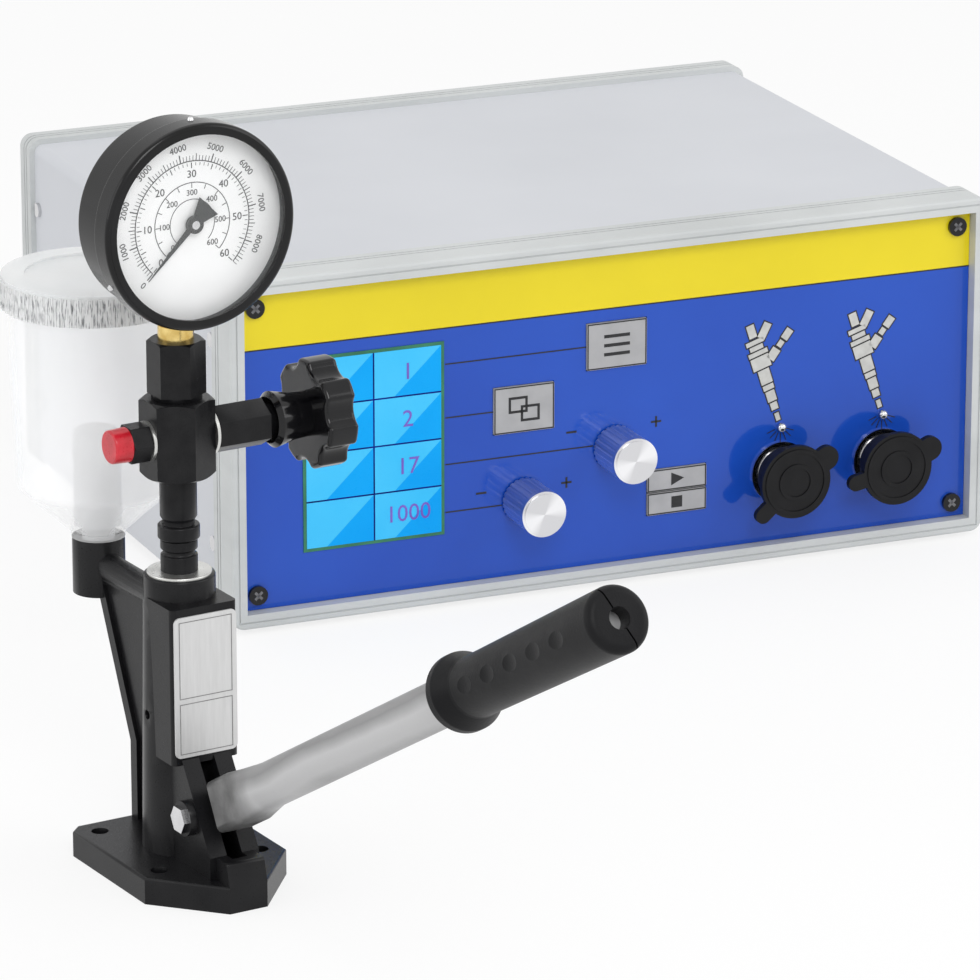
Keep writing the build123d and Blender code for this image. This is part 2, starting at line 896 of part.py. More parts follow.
# Valve block: a hexagon with turned ends, its ports and galleries
with BuildPart() as valve_block:
    with BuildSketch(Plane.XY.offset(block_low)):
        RegularPolygon(block_face, hex_sides, major_radius=False, rotation=hex_turn)
    extrude(amount=block_height)
    block_corner = block_flats / (2 * cos(radians(hex_turn)))
    turn_drop = (block_corner - block_face) * tan(radians(block_turn_angle))
    with BuildSketch(Plane.XZ):
        with BuildLine():
            Polyline(
                (0, block_low),
                (block_face, block_low),
                (block_corner, block_low + turn_drop),
                (block_corner, block_high - turn_drop),
                (block_face, block_high),
                (0, block_high),
                close=True,
            )
        make_face()
    revolve(axis=Axis.Z, mode=Mode.INTERSECT)
    with BuildSketch(Plane.XY.offset(block_low)):
        Circle(holder_spigot_radius + seat_gap)
    extrude(amount=holder_spigot_length, mode=Mode.SUBTRACT)
    with BuildSketch(Plane.XY.offset(block_high)):
        Circle(adapter_port_radius + seat_gap)
    extrude(amount=-adapter_port_depth, mode=Mode.SUBTRACT)
    with BuildSketch(Plane.XY.offset(block_low + holder_spigot_length)):
        Circle(gallery_radius)
    extrude(amount=block_height - holder_spigot_length - adapter_port_depth, mode=Mode.SUBTRACT)
    with BuildSketch(port_section(block_face)):
        Circle(valve_port_radius + seat_gap)
    extrude(amount=-valve_port_depth, mode=Mode.SUBTRACT)
    with BuildSketch(port_section(-block_face)):
        Circle(outlet_port_radius + seat_gap)
    extrude(amount=outlet_port_depth, mode=Mode.SUBTRACT)
    with BuildSketch(port_section(-block_face + outlet_port_depth)):
        Circle(gallery_radius)
    extrude(amount=block_flats - outlet_port_depth - valve_port_depth, mode=Mode.SUBTRACT)

# Sealing washers of the outlet and the shut-off valve
with BuildPart() as head_washers:
    with BuildSketch(port_section(-block_face)):
        Circle(outlet_washer_radius)
        Circle(outlet_port_radius + seat_gap, mode=Mode.SUBTRACT)
    extrude(amount=-washer_thickness)
    with BuildSketch(port_section(block_face)):
        Circle(bonnet_washer_radius)
        Circle(valve_port_radius + seat_gap, mode=Mode.SUBTRACT)
    extrude(amount=washer_thickness)

# Outlet: union and slide-on cap
outlet_hex_start = -block_face - washer_thickness
outlet_hex_end = outlet_hex_start - outlet_hex_length
with BuildPart() as outlet_union:
    with BuildSketch(port_section(-block_face + outlet_port_depth)):
        Circle(outlet_port_radius)
    extrude(amount=-outlet_port_depth - washer_thickness)
    with BuildSketch(port_section(outlet_hex_start)):
        RegularPolygon(outlet_hex_flats / 2, hex_sides, major_radius=False)
    extrude(amount=-outlet_hex_length)
    with BuildSketch(port_section(outlet_hex_end)):
        Circle(outlet_thread_radius)
    extrude(amount=-outlet_thread_length)
    with BuildSketch(port_section(outlet_hex_end - outlet_thread_length)):
        Circle(outlet_bore_radius)
    extrude(
        amount=outlet_thread_length + outlet_hex_length + washer_thickness + outlet_port_depth,
        mode=Mode.SUBTRACT,
    )

with BuildPart() as outlet_cap:
    cap_open = outlet_hex_end - seat_gap
    cap_closed = outlet_hex_end - outlet_thread_length - seat_gap - cap_end
    cap_inner = outlet_thread_radius + running_gap
    with BuildSketch(Plane(origin=(0, 0, port_height), x_dir=(1, 0, 0), z_dir=(0, -1, 0))):
        with BuildLine():
            Polyline(
                (cap_open, cap_inner),
                (cap_open, cap_inner + cap_wall + cap_flare),
                (cap_closed, cap_inner + cap_wall),
                (cap_closed, 0),
                (cap_closed + cap_end, 0),
                (cap_closed + cap_end, cap_inner),
                close=True,
            )
        make_face()
    revolve(axis=port_axis)
    cap_edges = outlet_cap.edges().filter_by(GeomType.CIRCLE).group_by(Axis.X)[0]
    fillet(cap_edges.sort_by(SortBy.LENGTH)[-1], radius=cap_round)

# Shut-off valve: bonnet, spindle, handwheel and its screw
bonnet_start = block_face + washer_thickness
bonnet_end = bonnet_start + bonnet_length
with BuildPart() as valve_bonnet:
    with BuildSketch(port_section(block_face - valve_port_depth)):
        Circle(valve_port_radius)
    extrude(amount=valve_port_depth + washer_thickness)
    with BuildSketch(port_section(bonnet_start)):
        RegularPolygon(bonnet_flats / 2, hex_sides, major_radius=False, rotation=hex_turn)
    extrude(amount=bonnet_length)
    with BuildSketch(port_section(bonnet_end)):
        Circle(gland_radius)
    extrude(amount=gland_length)
    with BuildSketch(port_section(block_face - valve_port_depth)):
        Circle(spindle_radius + running_gap)
    extrude(
        amount=valve_port_depth + washer_thickness + bonnet_length + gland_length,
        mode=Mode.SUBTRACT,
    )

wheel_start = bonnet_end + wheel_gap
wheel_neck = wheel_start + wheel_hub_length
wheel_rim = wheel_neck + wheel_waist_length
wheel_end = wheel_rim + wheel_thickness
spindle_end = wheel_end - wheel_screw_head - spindle_end_margin
spindle_start = block_face - valve_port_depth + seat_gap
with BuildPart() as valve_spindle:
    with BuildSketch(port_section(spindle_start + spindle_tip_length)):
        Circle(spindle_radius)
    extrude(amount=spindle_end - spindle_start - spindle_tip_length)
    with BuildSketch(port_section(spindle_start)):
        Circle(spindle_tip_radius)
    with BuildSketch(port_section(spindle_start + spindle_tip_length)):
        Circle(spindle_radius)
    loft()
    with BuildSketch(port_section(spindle_end)):
        Circle(wheel_screw_shank + seat_gap)
    extrude(amount=-wheel_screw_length, mode=Mode.SUBTRACT)

with BuildPart() as handwheel:
    with BuildSketch(port_section(wheel_rim)) as star:
        Circle(wheel_radius)
        with PolarLocations(wheel_scallop_centre, wheel_lobes, start_angle=quarter_turn / wheel_lobes):
            Circle(wheel_scallop_radius, mode=Mode.SUBTRACT)
        fillet(star.vertices(), radius=wheel_round)
    extrude(amount=wheel_thickness)
    rim_faces = handwheel.faces().filter_by(Axis.X)
    fillet(rim_faces.edges(), radius=wheel_round)
    with BuildSketch(Plane(origin=(0, 0, port_height), x_dir=(1, 0, 0), z_dir=(0, -1, 0))):
        with BuildLine():
            Polyline(
                (wheel_start, 0),
                (wheel_start, wheel_hub_radius - wheel_round),
                (wheel_start + wheel_round, wheel_hub_radius),
                (wheel_neck, wheel_hub_radius - wheel_round),
                (wheel_rim, wheel_waist_radius),
                (wheel_rim + wheel_thickness / 2, wheel_waist_radius),
                (wheel_rim + wheel_thickness / 2, 0),
                close=True,
            )
        make_face()
    revolve(axis=port_axis)
    with BuildSketch(port_section(wheel_start)):
        Circle(wheel_recess_radius)
    extrude(amount=wheel_recess_depth, mode=Mode.SUBTRACT)
    with BuildSketch(port_section(wheel_start)):
        Circle(spindle_radius + running_gap)
    extrude(amount=spindle_end - wheel_start + seat_gap, mode=Mode.SUBTRACT)
    with BuildSketch(port_section(spindle_end)):
        Circle(wheel_screw_shank + seat_gap)
    extrude(amount=wheel_end - spindle_end + cut_over, mode=Mode.SUBTRACT)
    with BuildSketch(port_section(wheel_end)):
        Circle(wheel_screw_radius + soft_gap)
    extrude(amount=-wheel_screw_head, mode=Mode.SUBTRACT)

with BuildPart() as handwheel_screw:
    with BuildSketch(port_section(wheel_end - wheel_screw_head)):
        Circle(wheel_screw_radius)
    extrude(amount=wheel_screw_head)
    with BuildSketch(port_section(wheel_end - wheel_screw_head)):
        Circle(wheel_screw_shank)
    extrude(amount=-wheel_screw_length)
    with BuildSketch(port_section(wheel_end)):
        Rectangle(2 * wheel_screw_radius, wheel_screw_head / 2)
    extrude(amount=-wheel_screw_head / 2, mode=Mode.SUBTRACT)

# Gauge adapter and brass stem
with BuildPart() as gauge_adapter:
    with BuildSketch(Plane.XY.offset(block_high - adapter_port_depth)):
        Circle(adapter_port_radius)
    extrude(amount=adapter_port_depth)
    with BuildSketch(Plane.XY.offset(block_high)):
        Circle(adapter_flats / 2)
    extrude(amount=adapter_collar)
    with BuildSketch(Plane.XY.offset(block_high + adapter_collar)):
        RegularPolygon(adapter_flats / 2, hex_sides, major_radius=False, rotation=hex_turn)
    extrude(amount=adapter_length - adapter_collar)
    adapter_corner = adapter_flats / (2 * cos(radians(hex_turn)))
    adapter_drop = (adapter_corner - adapter_flats / 2) * tan(radians(block_turn_angle))
    with BuildSketch(Plane.XZ):
        with BuildLine():
            Polyline(
                (0, block_high - adapter_port_depth),
                (adapter_corner, block_high - adapter_port_depth),
                (adapter_corner, adapter_top - adapter_drop),
                (adapter_flats / 2, adapter_top),
                (0, adapter_top),
                close=True,
            )
        make_face()
    revolve(axis=Axis.Z, mode=Mode.INTERSECT)
    with BuildSketch(Plane.XY.offset(adapter_top)):
        Circle(adapter_bore_radius + seat_gap)
    extrude(amount=-adapter_bore_depth, mode=Mode.SUBTRACT)
    with BuildSketch(Plane.XY.offset(block_high - adapter_port_depth)):
        Circle(fuel_bore_radius)
    extrude(amount=adapter_length, mode=Mode.SUBTRACT)

gauge_floor = gauge_height - gauge_drum_radius
with BuildPart() as gauge_stem:
    with BuildSketch(Plane.XY.offset(adapter_top)):
        Circle(adapter_bore_radius)
    extrude(amount=-adapter_bore_depth + seat_gap)
    with BuildSketch(Plane.XY.offset(adapter_top)):
        Circle(stem_collar_radius)
    extrude(amount=stem_collar_length)
    with BuildSketch(Plane.XY.offset(adapter_top + stem_collar_length)):
        Rectangle(stem_flats, stem_flats)
    extrude(amount=gauge_floor + stem_reach - adapter_top - stem_collar_length)
    with BuildSketch(Plane.XY.offset(adapter_top - adapter_bore_depth)):
        Circle(fuel_bore_radius)
    extrude(amount=gauge_floor - adapter_top + adapter_bore_depth, mode=Mode.SUBTRACT)

# Gauge: drum, rim, glass, dial, pointer, movement and Bourdon tube
with BuildPart() as gauge_case:
    with BuildSketch(dial_section(-gauge_back)):
        Circle(gauge_drum_radius)
    extrude(amount=gauge_back + gauge_drum_front)
    drum_back = gauge_case.faces().sort_by(Axis.Y)[-1]
    fillet(drum_back.edges(), radius=gauge_round)
    with BuildSketch(dial_section(-gauge_back + gauge_wall)):
        Circle(gauge_drum_radius - gauge_wall)
    extrude(amount=gauge_back + gauge_drum_front, mode=Mode.SUBTRACT)
    with BuildSketch(Plane.XY.offset(adapter_top + stem_collar_length)):
        Rectangle(stem_flats + 2 * seat_gap, stem_flats + 2 * seat_gap)
    extrude(amount=gauge_floor + stem_reach - adapter_top, mode=Mode.SUBTRACT)

glass_front = gauge_front - gauge_lip_thickness
rim_back = gauge_drum_front - gauge_rim_lap
with BuildPart() as gauge_bezel:
    with BuildSketch(dial_section(rim_back)):
        Circle(gauge_rim_radius)
    extrude(amount=gauge_front - rim_back)
    fillet(gauge_bezel.faces().sort_by(Axis.Y)[0].edges(), radius=gauge_round)
    fillet(gauge_bezel.faces().sort_by(Axis.Y)[-1].edges(), radius=gauge_round / 2)
    with BuildSketch(dial_section(rim_back)):
        Circle(gauge_lip_radius)
    extrude(amount=gauge_front - rim_back, mode=Mode.SUBTRACT)
    with BuildSketch(dial_section(rim_back)):
        Circle(gauge_drum_radius + seat_gap)
    extrude(amount=glass_front - rim_back, mode=Mode.SUBTRACT)

with BuildPart() as gauge_glass:
    with BuildSketch(dial_section(glass_front - glass_thickness)):
        Circle(gauge_drum_radius)
    extrude(amount=glass_thickness)

with BuildPart() as gauge_dial:
    with BuildSketch(dial_section(gauge_drum_front)):
        Circle(gauge_drum_radius)
        Circle(arbor_radius + soft_gap, mode=Mode.SUBTRACT)
    extrude(amount=dial_thickness)

pointer_low = gauge_drum_front + dial_thickness + pointer_gap
pointer_way = radians(quarter_turn + pointer_zero)
with BuildPart() as gauge_pointer:
    with BuildSketch(dial_section(pointer_low)):
        Circle(pointer_hub_radius)
        with BuildLine():
            Polyline(
                (pointer_length * cos(pointer_way), pointer_length * sin(pointer_way)),
                (
                    pointer_width * cos(pointer_way + pi / 2) / 2,
                    pointer_width * sin(pointer_way + pi / 2) / 2,
                ),
                (
                    -pointer_tail * cos(pointer_way) + pointer_tail_width * cos(pointer_way + pi / 2) / 2,
                    -pointer_tail * sin(pointer_way) + pointer_tail_width * sin(pointer_way + pi / 2) / 2,
                ),
                (
                    -pointer_tail * cos(pointer_way) - pointer_tail_width * cos(pointer_way + pi / 2) / 2,
                    -pointer_tail * sin(pointer_way) - pointer_tail_width * sin(pointer_way + pi / 2) / 2,
                ),
                (
                    -pointer_width * cos(pointer_way + pi / 2) / 2,
                    -pointer_width * sin(pointer_way + pi / 2) / 2,
                ),
                close=True,
            )
        make_face()
    extrude(amount=pointer_thickness)
    with BuildSketch(dial_section(pointer_low)):
        Circle(pointer_hub_radius)
    extrude(amount=pointer_hub_thickness)
    with BuildSketch(dial_section(pointer_low)):
        Circle(arbor_radius)
    extrude(amount=-pointer_gap - dial_thickness - movement_depth / 2)

with BuildPart() as gauge_movement:
    with BuildSketch(dial_section(gauge_drum_front - movement_depth)):
        Rectangle(movement_width, movement_height)
    extrude(amount=movement_depth)
    with BuildSketch(Plane.XY.offset(gauge_floor + stem_reach)):
        with Locations((0, -gauge_drum_front + movement_depth / 2)):
            Rectangle(stem_flats, movement_depth)
    extrude(amount=gauge_height - movement_height / 2 - gauge_floor - stem_reach)
    with BuildSketch(dial_section(gauge_drum_front)):
        Circle(arbor_radius + running_gap)
    extrude(amount=-movement_depth, mode=Mode.SUBTRACT)
    with BuildSketch(Plane.XY.offset(gauge_floor + stem_reach)):
        with Locations((0, -bourdon_width / 2)):
            Rectangle(
                stem_flats,
                gauge_drum_front - bourdon_width / 2 - movement_depth / 2,
                align=(Align.CENTER, Align.MAX),
            )
    extrude(amount=stem_reach / 2)

with BuildPart() as bourdon_tube:
    bourdon_end = radians(bourdon_sweep - quarter_turn)
    with BuildSketch(dial_section(-bourdon_width / 2)):
        with BuildLine():
            CenterArc((0, 0), bourdon_radius, -quarter_turn, bourdon_sweep)
            CenterArc((0, 0), bourdon_radius + bourdon_thickness, -quarter_turn, bourdon_sweep)
            Line((0, -bourdon_radius), (0, -bourdon_radius - bourdon_thickness))
            Line(
                (bourdon_radius * cos(bourdon_end), bourdon_radius * sin(bourdon_end)),
                (
                    (bourdon_radius + bourdon_thickness) * cos(bourdon_end),
                    (bourdon_radius + bourdon_thickness) * sin(bourdon_end),
                ),
            )
        make_face()
    extrude(amount=bourdon_width)
    tube_low = gauge_height - bourdon_radius - bourdon_thickness
    with BuildSketch(Plane.XY.offset(gauge_floor + stem_reach)):
        Rectangle(bourdon_width, bourdon_width)
    extrude(amount=tube_low + bourdon_thickness / 2 - gauge_floor - stem_reach)

# Fuel tank, lid and filter
with BuildPart() as tank:
    neck_top = socket_high + tank_neck_height
    with BuildSketch(tank_side) as tank_profile:
        with BuildLine():
            Polyline(
                (socket_bore_radius - seat_gap, socket_high - tank_spigot_length),
                (socket_bore_radius - seat_gap, socket_high),
                (tank_neck_radius, socket_high),
                (tank_neck_radius, neck_top),
                (tank_low_radius, tank_shoulder),
                (tank_top_radius, tank_top),
                (tank_top_radius - tank_wall, tank_top),
                (tank_low_radius - tank_wall, tank_shoulder),
                (tank_neck_radius - tank_wall, neck_top),
                (tank_outlet_radius, neck_top),
                (tank_outlet_radius, socket_high - tank_spigot_length),
                close=True,
            )
        make_face()
    revolve(axis=tank_axis)
    rings = tank.edges().filter_by(GeomType.CIRCLE)
    shoulder = rings.filter_by_position(
        Axis.Z, tank_shoulder - seat_gap, tank_shoulder + seat_gap
    ).sort_by(SortBy.LENGTH)
    fillet(shoulder[-1], radius=tank_corner_round)
    rings = tank.edges().filter_by(GeomType.CIRCLE)
    inner_shoulder = rings.filter_by_position(
        Axis.Z, tank_shoulder - seat_gap, tank_shoulder + seat_gap
    )
    fillet(inner_shoulder, radius=tank_corner_round - tank_wall)

with BuildPart() as tank_lid:
    lid_inner = tank_top_radius + soft_gap
    lid_outer = lid_inner + lid_wall
    with BuildSketch(Plane.XY.offset(tank_top - lid_skirt)):
        with Locations((0, tank_reach)):
            Circle(lid_outer)
            with PolarLocations(lid_outer, lid_ribs):
                Rectangle(2 * lid_rib_height, lid_rib_width)
    extrude(amount=lid_skirt)
    with BuildSketch(Plane.XY.offset(tank_top)):
        with Locations((0, tank_reach)):
            Circle(lid_outer)
    extrude(amount=lid_wall)
    with BuildSketch(Plane.XY.offset(tank_top - lid_skirt)):
        with Locations((0, tank_reach)):
            Circle(lid_inner)
    extrude(amount=lid_skirt, mode=Mode.SUBTRACT)
    with BuildSketch(Plane.XY.offset(tank_top - lid_disc_drop)):
        with Locations((0, tank_reach)):
            Circle(lid_disc_radius)
    extrude(amount=lid_disc_drop)
    with BuildSketch(Plane.XY.offset(tank_top + lid_wall - lid_disc_drop)):
        with Locations((0, tank_reach)):
            Circle(lid_disc_radius - lid_wall)
    extrude(amount=lid_disc_drop, mode=Mode.SUBTRACT)

with BuildPart() as tank_filter:
    filter_low = neck_top + filter_stand
    with BuildSketch(Plane.XY.offset(filter_low - filter_stand - filter_spigot_length)):
        with Locations((0, tank_reach)):
            Circle(tank_outlet_radius - seat_gap)
            Circle(tank_outlet_radius - filter_wall, mode=Mode.SUBTRACT)
    extrude(amount=filter_spigot_length + filter_stand)
    with BuildSketch(Plane.XY.offset(filter_low)):
        with Locations((0, tank_reach)):
            Circle(filter_radius)
    extrude(amount=filter_height)
    fillet(tank_filter.faces().sort_by(Axis.Z)[-1].edges(), radius=filter_round)
    with BuildSketch(Plane.XY.offset(filter_low)):
        with Locations((0, tank_reach)):
            Circle(tank_outlet_radius - filter_wall)
    extrude(amount=filter_height - filter_round, mode=Mode.SUBTRACT)


# Case shell
panel_width = case_width - 2 * bezel_border
panel_height = case_height - 2 * bezel_border_tall
case_mid_x = case_width / 2
case_mid_z = case_height / 2
screw_x = panel_width / 2 - screw_inset_x
screw_z = panel_height / 2 - screw_inset_z
screw_hole = screw_shank_radius + seat_gap


def bezel_ring(depth, face_plane, mid):
    """One end frame, drawn on its outer face and built inwards."""
    with BuildPart() as ring:
        with BuildSketch(face_plane):
            with Locations((mid, case_mid_z)):
                RectangleRounded(case_width, case_height, bezel_corner)
        extrude(amount=-depth)
        outer_face = ring.faces().sort_by(Axis(face_plane.origin, face_plane.z_dir))[-1]
        fillet(outer_face.edges(), radius=bezel_edge_round)
        with BuildSketch(face_plane):
            with Locations((mid, case_mid_z)):
                Rectangle(case_width - 2 * bezel_line_inset, case_height - 2 * bezel_line_inset)
                Rectangle(
                    case_width - 2 * bezel_line_inset - 2 * bezel_line_width,
                    case_height - 2 * bezel_line_inset - 2 * bezel_line_width,
                    mode=Mode.SUBTRACT,
                )
        extrude(amount=-bezel_line_depth, mode=Mode.SUBTRACT)
        for back in (bezel_groove_back, bezel_groove_back + bezel_groove_pitch):
            with BuildSketch(face_plane.offset(back - depth)):
                with Locations((mid, case_mid_z)):
                    RectangleRounded(case_width, case_height, bezel_corner)
                    RectangleRounded(
                        case_width - 2 * bezel_groove_depth,
                        case_height - 2 * bezel_groove_depth,
                        bezel_corner - bezel_groove_depth,
                        mode=Mode.SUBTRACT,
                    )
            extrude(amount=bezel_groove_width, mode=Mode.SUBTRACT)
        with BuildSketch(face_plane):
            with Locations((mid, case_mid_z)):
                Rectangle(panel_width, panel_height)
        extrude(amount=-panel_recess - panel_thickness, mode=Mode.SUBTRACT)
        with BuildSketch(face_plane):
            with Locations((mid, case_mid_z)):
                Rectangle(panel_width - 2 * bezel_ledge, panel_height - 2 * bezel_ledge)
        extrude(amount=-depth, mode=Mode.SUBTRACT)
        with BuildSketch(face_plane):
            with Locations((mid, case_mid_z)):
                with GridLocations(2 * screw_x, 2 * screw_z, 2, 2):
                    Circle(screw_hole)
        extrude(amount=-panel_recess - screw_length, mode=Mode.SUBTRACT)
    return ring


front_bezel = bezel_ring(bezel_depth, case_front_plane(0), case_mid_x)
rear_bezel = bezel_ring(rear_bezel_depth, case_rear_plane(case_depth), -case_mid_x)

side_screw_y = (cover_front + side_screw_inset, cover_rear - side_screw_inset)
side_screw_z = (side_screw_low, side_screw_high)
with BuildPart() as case_cover:
    cover_width = case_width - 2 * cover_inset
    cover_height = case_height - 2 * cover_inset
    with BuildSketch(case_front_plane(cover_front)):
        with Locations((case_mid_x, case_mid_z)):
            RectangleRounded(cover_width, cover_height, cover_corner)
            Rectangle(cover_width, cover_height / 2, align=(Align.CENTER, Align.MAX))
            RectangleRounded(
                cover_width - 2 * cover_wall,
                cover_height - 2 * cover_wall,
                cover_corner - cover_wall,
                mode=Mode.SUBTRACT,
            )
            Rectangle(
                cover_width - 2 * cover_wall,
                cover_height / 2,
                align=(Align.CENTER, Align.MAX),
                mode=Mode.SUBTRACT,
            )
    extrude(amount=-cover_depth)
    with BuildSketch(case_side_plane(0)):
        for y in side_screw_y:
            for z in side_screw_z:
                with Locations((y, z)):
                    Circle(side_screw_shank + seat_gap)
    extrude(amount=case_width, mode=Mode.SUBTRACT)

# Floor plate with side lips, the tabs that take the cover's screws and pressed-in standoffs
with BuildPart() as bottom_plate:
    floor_half = cover_width / 2 - cover_wall - seat_gap
    with BuildSketch(case_front_plane(cover_front)):
        with Locations((case_mid_x, floor_lift)):
            Rectangle(2 * floor_half, floor_lip, align=(Align.CENTER, Align.MIN))
        with Locations((case_mid_x, floor_top)):
            Rectangle(
                2 * (floor_half - floor_wall),
                floor_lip,
                align=(Align.CENTER, Align.MIN),
                mode=Mode.SUBTRACT,
            )
    extrude(amount=-cover_depth)
    for y in side_screw_y:
        with BuildSketch(case_front_plane(y - side_tab_length / 2)):
            with Locations(
                (case_mid_x - floor_half, floor_lift),
                (case_mid_x + floor_half - side_tab_thickness, floor_lift),
            ):
                Rectangle(
                    side_tab_thickness,
                    side_screw_high + side_tab_height / 2 - floor_lift,
                    align=(Align.MIN, Align.MIN),
                )
        extrude(amount=-side_tab_length)
    with BuildSketch(case_side_plane(0)):
        for y in side_screw_y:
            for z in side_screw_z:
                with Locations((y, z)):
                    Circle(side_screw_shank + seat_gap)
    extrude(amount=case_width, mode=Mode.SUBTRACT)
    with BuildSketch(case_level(floor_top)):
        with Locations((board_x, board_y)):
            with GridLocations(
                board_width - 2 * standoff_inset,
                board_depth - 2 * standoff_inset,
                2,
                2,
            ):
                Circle(standoff_radius)
    extrude(amount=standoff_height)

with BuildPart() as case_feet:
    with BuildSketch(case_level(-feet_height)):
        with Locations((case_mid_x, case_depth / 2)):
            with GridLocations(
                case_width - 2 * foot_pad_inset_x,
                case_depth - 2 * foot_pad_inset_y,
                2,
                2,
            ):
                Circle(foot_pad_radius)
    extrude(amount=feet_height + floor_lift)
    chamfer(case_feet.faces().group_by(Axis.Z)[0].edges(), length=foot_pad_chamfer)

with BuildPart() as side_screws:
    for side, start in ((-1, cover_inset), (1, case_width - cover_inset)):
        with BuildSketch(case_side_plane(start)):
            for y in side_screw_y:
                for z in side_screw_z:
                    with Locations((y, z)):
                        Circle(side_screw_radius)
        extrude(amount=side * side_screw_head)
        with BuildSketch(case_side_plane(start)):
            for y in side_screw_y:
                for z in side_screw_z:
                    with Locations((y, z)):
                        Circle(side_screw_shank)
        extrude(amount=-side * side_screw_length)

with BuildPart() as panel_screws:
    for face_plane, mid in (
        (case_front_plane(panel_recess), case_mid_x),
        (case_rear_plane(case_depth - panel_recess), -case_mid_x),
    ):
        with BuildSketch(face_plane):
            with Locations((mid, case_mid_z)):
                with GridLocations(2 * screw_x, 2 * screw_z, 2, 2):
                    Circle(screw_head_radius)
        extrude(amount=screw_head_height)
        with BuildSketch(face_plane):
            with Locations((mid, case_mid_z)):
                with GridLocations(2 * screw_x, 2 * screw_z, 2, 2):
                    Circle(screw_shank_radius)
        extrude(amount=-screw_length + seat_gap)

# Front panel with its openings
knob_places = ((pulse_knob_x, pulse_knob_z), (rate_knob_x, rate_knob_z))
socket_places = ((socket_x, socket_z), (socket_x + socket_pitch, socket_z))
wide_keys = ((menu_key_x, menu_key_z), (mode_key_x, mode_key_z))

with BuildPart() as front_panel:
    with BuildSketch(case_front_plane(panel_recess)):
        with Locations((case_mid_x, case_mid_z)):
            Rectangle(panel_width - 2 * panel_slack, panel_height - 2 * panel_slack)
            with GridLocations(2 * screw_x, 2 * screw_z, 2, 2):
                Circle(screw_hole, mode=Mode.SUBTRACT)
        with Locations((display_x, display_z)):
            Rectangle(display_width, display_height, mode=Mode.SUBTRACT)
        with Locations(*wide_keys):
            Rectangle(key_width + 2 * key_slack, key_height + 2 * key_slack, mode=Mode.SUBTRACT)
        with Locations((start_key_x, (start_key_z + stop_key_z) / 2)):
            Rectangle(
                key_width + 2 * key_slack,
                start_key_z - stop_key_z + start_key_height + 2 * key_slack,
                mode=Mode.SUBTRACT,
            )
        with Locations(*knob_places):
            Circle(pot_bush_radius + seat_gap, mode=Mode.SUBTRACT)
        with Locations(*socket_places):
            Circle(shell_thread_radius + seat_gap, mode=Mode.SUBTRACT)
    extrude(amount=-panel_thickness)

with BuildPart() as display_window:
    with BuildSketch(case_front_plane(panel_back)):
        with Locations((display_x, display_z)):
            Rectangle(display_width - 2 * panel_slack, display_height - 2 * panel_slack)
    extrude(amount=panel_thickness)
    with BuildSketch(case_front_plane(panel_recess)):
        with Locations((display_x, display_z)):
            Rectangle(display_width + 2 * display_rim, display_height + 2 * display_rim)
    extrude(amount=display_proud)

with BuildPart() as display_module:
    with BuildSketch(case_front_plane(panel_back)):
        with Locations((display_x, display_z)):
            Rectangle(display_width + 2 * display_plate, display_height + 2 * display_plate)
    extrude(amount=-display_thickness)

# Keys: pad, retaining flange behind the panel and a post to the key board
key_board_front = panel_back + key_flange_thickness + key_travel + key_plate_gap


def key_piece(x, z, height):
    """One press key, centred at x, z on the panel."""
    with BuildPart() as key:
        with BuildSketch(case_front_plane(panel_back)) as pad:
            with Locations((x, z)):
                Rectangle(key_width, height)
            fillet(pad.vertices(), radius=key_round)
        extrude(amount=panel_thickness + key_proud)
        with BuildSketch(case_front_plane(panel_back)):
            with Locations((x, z)):
                Rectangle(key_width + 2 * key_flange, height)
        extrude(amount=-key_flange_thickness)
        with BuildSketch(case_front_plane(panel_back + key_flange_thickness)):
            with Locations((x, z)):
                Circle(key_post_radius)
        extrude(amount=-key_plate_gap + post_end_gap)
    return key


menu_key = key_piece(menu_key_x, menu_key_z, key_height)
mode_key = key_piece(mode_key_x, mode_key_z, key_height)
start_key = key_piece(start_key_x, start_key_z, start_key_height)
stop_key = key_piece(start_key_x, stop_key_z, start_key_height)

with BuildPart() as key_board:
    board_left = mode_key_x - key_width / 2 - key_board_margin
    board_right = start_key_x + key_width / 2 + key_board_margin
    board_low = stop_key_z - start_key_height / 2 - key_board_margin
    board_high = menu_key_z + key_height / 2 + key_board_margin
    with BuildSketch(case_front_plane(key_board_front)):
        with Locations(((board_left + board_right) / 2, (board_low + board_high) / 2)):
            Rectangle(board_right - board_left, board_high - board_low)
        with Locations(*knob_places):
            Circle(pot_body_radius + soft_gap, mode=Mode.SUBTRACT)
    extrude(amount=-key_board_thickness)
    with BuildSketch(case_front_plane(panel_back)):
        with Locations(((board_left + board_right) / 2, (board_low + board_high) / 2)):
            with GridLocations(
                board_right - board_left - key_board_margin,
                board_high - board_low - key_board_margin,
                2,
                2,
            ):
                Circle(key_post_radius)
    extrude(amount=panel_back - key_board_front)

# Potentiometers and fluted knobs
with BuildPart() as potentiometers:
    with BuildSketch(case_front_plane(panel_back)):
        with Locations(*knob_places):
            Circle(pot_body_radius)
    extrude(amount=-pot_body_depth)
    with BuildSketch(case_front_plane(panel_back)):
        with Locations(*knob_places):
            Circle(pot_bush_radius)
    extrude(amount=panel_thickness)
    with BuildSketch(case_front_plane(panel_recess)):
        with Locations(*knob_places):
            Circle(pot_shaft_radius)
    extrude(amount=pot_shaft_length)


